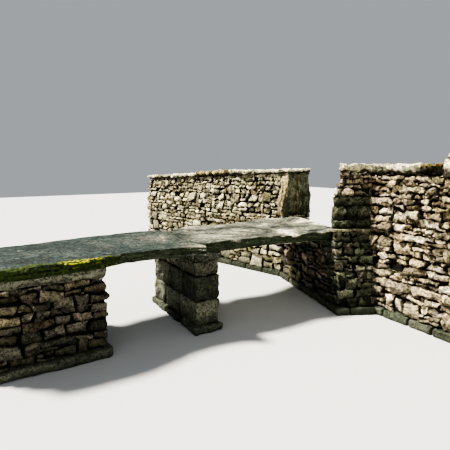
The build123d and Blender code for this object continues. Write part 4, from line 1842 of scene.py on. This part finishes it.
@dataclass
class UpstreamWall:
    """The far wall: small rubble, two upright end stones, flat coping and a row of upright coping.

    Attributes:
        base: How the rubble below the deck is laid.
        upper: How the rubble over the deck is laid.
        rubble: How the upper rubble breaks.
        riven: How the end stones break.
        footing_joints: Where the stones of the footing meet.
        packing_joints: Where the small stones under the coping meet.
        packing_deep: Shares of the wall's depth that they fill.
        packing_sink: How far they reach below the shelf, as a share of the wall's height.
        shelf: Share of the wall's height at which the rubble ends.
        bed_inset: How far the filling between them lies behind the wall's faces.
        bed_sink: How far it reaches below the shelf.
        bed_top: Share of the wall's height at which it ends.
        ends: The two end stones, with the shares of the depth that each fills.
        end_high: Shares of the height that they fill.
        core_inset: How far the filling between them lies behind their faces.
        overhang: How far the coping stands out, as a share of its depth.
        far_joints: Where the stones of each far coping meet.
        upright_joints: Where those of each upright coping meet.
        seed: Start of its random numbers.
    """

    base: Masonry = Masonry(length=0.24, depth=0.18, proud=0.04, tilt=0.36)
    upper: Masonry = Masonry(
        course=0.115, length=0.2, depth=0.16, waver=0.04, unrest=0.03, proud=0.045, tilt=0.32,
        radius=0.014, bulge=0.2, facet=0.018, split=0.24, jump=0.12, skew=0.55, missing=0.035)
    rubble: Surface = Surface(chip_scale=10.0, chip_depth=0.034, facet_scale=15.0, facet_depth=0.038)
    riven: Surface = Surface(chip_scale=4.0, chip_depth=0.034, facet_scale=7.0, facet_depth=0.05)
    footing_joints: Joints = (0.1, 0.2, 0.31, 0.42, 0.5, 0.6, 0.71, 0.8, 0.9)
    packing_joints: Joints = (0.07, 0.16, 0.24, 0.35, 0.43, 0.54, 0.62, 0.7, 0.79, 0.9)
    packing_deep: Shares = (0.12, 0.88)
    packing_sink: float = 0.04
    shelf: float = 0.935
    bed_inset: float = 0.14
    bed_sink: float = 0.1
    bed_top: float = 1.01
    ends: tuple[tuple[str, Shares], ...] = (
        ("upstream_end_stone_front", (0.0, 0.97)), ("upstream_end_stone_back", (0.03, 1.0)))
    end_high: Shares = (0, 1.02)
    core_inset: float = 0.05
    overhang: float = 0.07
    far_joints: Joints = (0.31, 0.68)
    upright_joints: Joints = (0.55,)
    seed: int = 70

    def build(self, mason: Mason) -> None:
        """Lays the wall from its footing to its coping.

        Args:
            mason: What makes the pieces.
        """
        mason.footing("upstream", self.footing_joints, self.seed)
        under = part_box("right_bearing_course")[1].z
        base = RubbleMass(node_posts("upstream_base"), self.base, {1: under})
        mason.rubble("upstream_base_rubble", "upstream_base", base, self.seed + 1,
                     Dressing("upstream_rubble", Cut.COARSE, HACKED))
        posts = node_posts("upstream_wall")
        below_shelf = [(low, mix(low, top, self.shelf)) for low, top in posts]
        upper = RubbleMass(below_shelf, self.upper, {1: ALWAYS_HIDDEN})
        mason.rubble("upstream_upper_rubble", "upstream_wall", upper, self.seed + 2,
                     Dressing("upstream_rubble", Cut.USUAL, self.rubble))
        high = (self.shelf - self.packing_sink, 1.0)
        packing = row(posts, self.packing_joints, 0.04, self.packing_deep, high)
        mason.blocks("upstream_packing", ("upstream_wall",), packing, self.seed + 30,
                     Dressing("upstream_rubble", Cut.USUAL, WEATHERED))
        # Near-black filling under the coping, as painted shade in the recess.
        mason.fill("upstream_bed", "upstream_rubble", {"upstream_wall": posts}, self.bed_inset,
                   (self.shelf - self.bed_sink, self.bed_top))
        ends = {name: node_posts(name) for name, _ in self.ends}
        riven = Dressing("quoin_stone", Cut.BLOCK, self.riven, 0.035, "end_stone")
        for name, deep in self.ends:
            stone = block_corners(ends[name], WHOLE, deep, self.end_high)
            mason.blocks(name + "_block", (name,), [stone], self.seed + 3, riven)
        # Near-black filling, as painted shade between the end stones.
        mason.fill("upstream_end_core", "quoin_stone", ends, self.core_inset)
        self.cope(mason)

    def cope(self, mason: Mason) -> None:
        """Lays the flat coping and the row of upright coping.

        Args:
            mason: What makes the pieces.
        """
        deep = (-self.overhang, 1.0)
        names = ["upstream_end_cap"]
        names += [f"upstream_coping_{index}" for index in range(1, 4)]
        names += [f"upstream_far_coping_{index}" for index in range(1, 3)]
        flat = Dressing("coping_stone", Cut.BLOCK, WEATHERED, undercut=0.07)
        for index, name in enumerate(names):
            joints = self.far_joints if "far" in name else ()
            stones = row(node_posts(name), joints, 0.01, deep)
            mason.blocks(name + "_stone", (name,), stones, self.seed + 5 + index, flat)
        upright = Dressing("coping_stone", Cut.BLOCK, WEATHERED, 0.03, "upright_coping", 0.06)
        for index in range(1, 6):
            name = f"upstream_upright_coping_{index}"
            stones = row(node_posts(name), self.upright_joints, 0.02, deep)
            mason.blocks(name + "_stones", (name,), stones, self.seed + 15 + index, upright)


FINISHES = {
    "pier_stone": StoneFinish(
        ((90, 94, 80), (116, 116, 100), (76, 82, 68)), beneath=0.5, line=0.0, crags=0.7, moss_amount=0.3),
    "cap_flagstone": StoneFinish(((96, 100, 92), (120, 122, 110)), moss_amount=0.15),
    "abutment_rubble": StoneFinish(
        ((92, 86, 70), (126, 116, 92), (104, 100, 88), (80, 78, 64)), beneath=0.6, line=0.0, crags=0.7,
        moss_amount=0.25),
    "downstream_rubble": StoneFinish(
        ((184, 166, 130), (234, 217, 180), (156, 140, 106), (250, 236, 202), (204, 186, 150)),
        grime=0.85, beneath=0.8, line=0.0, crags=1.1, mottle=1.0, relief=0.06),
    # A darker copy of the near wall's rubble, as painted shade, for the wing below its ledge.
    "wing_rubble": StoneFinish(
        ((100, 105, 85), (130, 127, 104), (88, 95, 75), (114, 110, 89)), beneath=0.6, line=0.1, crags=0.7,
        moss_amount=0.25),
    "upstream_rubble": StoneFinish(
        ((184, 178, 147), (212, 205, 174), (144, 135, 102), (202, 195, 166), (164, 151, 114)),
        beneath=0.5, line=0.0, crags=0.6),
    # Dark olive palette: the stone's own colour, darkened as painted shade.
    "quoin_stone": StoneFinish(
        ((84, 88, 70), (112, 112, 89)), mottle=1.0, lichen=(150, 152, 130), lichen_amount=0.34,
        moss_amount=0.22, beneath=0.8, line=0.2, crags=1.1, relief=0.06),
    # Pale slabs, with strong painted shade on their lower half.
    "coping_stone": StoneFinish(
        ((246, 236, 196), (252, 246, 216), (236, 224, 178)), mottle=0.7, grime=0.4, beneath=0.95, line=0.45,
        crags=1.0, relief=0.06, lichen=(248, 241, 206), lichen_amount=0.4, moss_amount=0.12),
    # Darker set-back stone, with painted shade over most of its face.
    "recessed_coping": StoneFinish(
        ((104, 94, 66), (126, 114, 82)), mottle=1.1, grime=0.8, beneath=0.96, line=0.85, crags=1.0,
        relief=0.06, lichen=(176, 166, 110), lichen_amount=0.45, moss_amount=0.4),
    "upright_coping": StoneFinish(
        ((226, 214, 168), (150, 132, 84), (206, 190, 138), (96, 88, 60)), grime=0.8, beneath=0.95, line=0.45,
        crags=1.0, relief=0.06, moss_amount=0.15),
    "ledge_stone": StoneFinish(((124, 122, 98), (142, 138, 112)), moss_amount=0.3),
    # Dark palette as painted shade on the end stones, with painted sunlight on the side that faces along -X.
    "end_stone": StoneFinish(
        ((88, 94, 74), (116, 118, 96)), mottle=1.0, crags=1.0, lichen=(170, 168, 138), lichen_amount=0.5,
        moss=(62, 70, 32), moss_amount=0.45, sunny=(186, 168, 124)),
    # Near-black filling as painted shade in the gaps between and under stones.
    "hearting": StoneFinish(((9, 9, 7), (7, 7, 5)), lichen_amount=0.0),
    "riven_flagstone": FlagFinish(),
}


def make_finishes() -> dict[str, bpy.types.Material]:
    """Makes every material, on shader groups that they share.

    Returns:
        The materials by name.
    """
    groups = {"mottle": mottle_group(), "lichen": lichen_group(),
              "grime": joint_dirt_and_shade_group(), "damp": damp_group()}
    return {name: finish.build(name, groups) for name, finish in FINISHES.items()}


@dataclass(frozen=True)
class Lamp:
    """A far lamp with soft shadows.

    Attributes:
        name: The lamp's name.
        power: Its strength.
        width: How wide its source looks, in degrees.
        turn: Its turn about X, Y and Z, in degrees.
        colour: Its linear colour.
    """

    name: str
    power: float
    width: float
    turn: tuple[float, float, float]
    colour: tuple[float, float, float]

    def build(self) -> None:
        """Adds the lamp."""
        data = bpy.data.lights.new(self.name, "SUN")
        data.energy, data.angle, data.color = self.power, math.radians(self.width), self.colour
        lamp = bpy.data.objects.new(self.name, data)
        lamp.rotation_euler = [math.radians(value) for value in self.turn]
        bpy.context.scene.collection.objects.link(lamp)


@dataclass(frozen=True)
class Studio:
    """The camera at the photograph's viewpoint, a pale floor and soft light from the left."""

    eye: tuple[float, float, float] = (-2.909, -6.195, 2.65)
    pitch: float = 81.33
    yaw: float = -31.2
    lens: float = 32.0
    sensor: float = 36.0
    look: str = "AgX - High Contrast"
    floor_size: float = 60.0
    floor_colour: tuple[float, ...] = (0.62, 0.62, 0.60, 1)
    key: Lamp = Lamp("key", 9.5, 8, (34, 0, -128), (1.0, 0.95, 0.87))
    weak: Lamp = Lamp("fill", 0.3, 60, (55, 0, -25), (0.90, 0.94, 1.0))
    sky_colour: tuple[float, ...] = (0.84, 0.88, 0.93, 1)
    sky_strength: float = 0.38

    def build(self) -> None:
        """Adds the camera, floor, lamps and surroundings."""
        scene = bpy.context.scene
        camera_data = bpy.data.cameras.new("camera")
        camera_data.lens, camera_data.sensor_width = self.lens, self.sensor
        camera = bpy.data.objects.new("camera", camera_data)
        camera.location = self.eye
        camera.rotation_euler = (math.radians(self.pitch), 0, math.radians(self.yaw))
        scene.collection.objects.link(camera)
        scene.camera = camera
        scene.view_settings.look = self.look
        self.floor()
        self.key.build()
        self.weak.build()
        world = bpy.data.worlds.new("surroundings")
        world.use_nodes = True
        graph = Graph(world.node_tree)
        sky = graph.wire("ShaderNodeBackground", {"Color": self.sky_colour, "Strength": self.sky_strength})
        graph.add("ShaderNodeOutputWorld", {0: sky})
        scene.world = world

    def floor(self) -> None:
        """Adds the pale floor."""
        half = self.floor_size / 2
        corners = [(-half, -half, 0), (half, -half, 0), (half, half, 0), (-half, half, 0)]
        mesh = bpy.data.meshes.new("floor")
        mesh.from_pydata(corners, [], [(0, 1, 2, 3)])
        material, graph = new_material("floor")
        graph.shade({"Base Color": self.floor_colour, "Roughness": 0.9})
        mesh.materials.append(material)
        add_piece("floor", mesh)


def main() -> None:
    """Builds the bridge, piece by piece, and its studio."""
    logging.basicConfig(level=logging.INFO, format="%(message)s")
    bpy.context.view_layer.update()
    Studio().build()
    mason = Mason(StoneShaper(), make_finishes())
    between_walls = {1: ALWAYS_HIDDEN, 3: ALWAYS_HIDDEN}
    for assembly in (Deck(), Pier(), Abutment("left", 20), Abutment("right", 30, between_walls),
                     DownstreamWall(), Wing(), UpstreamWall()):
        assembly.build(mason)


if __name__ == "__main__":
    main()
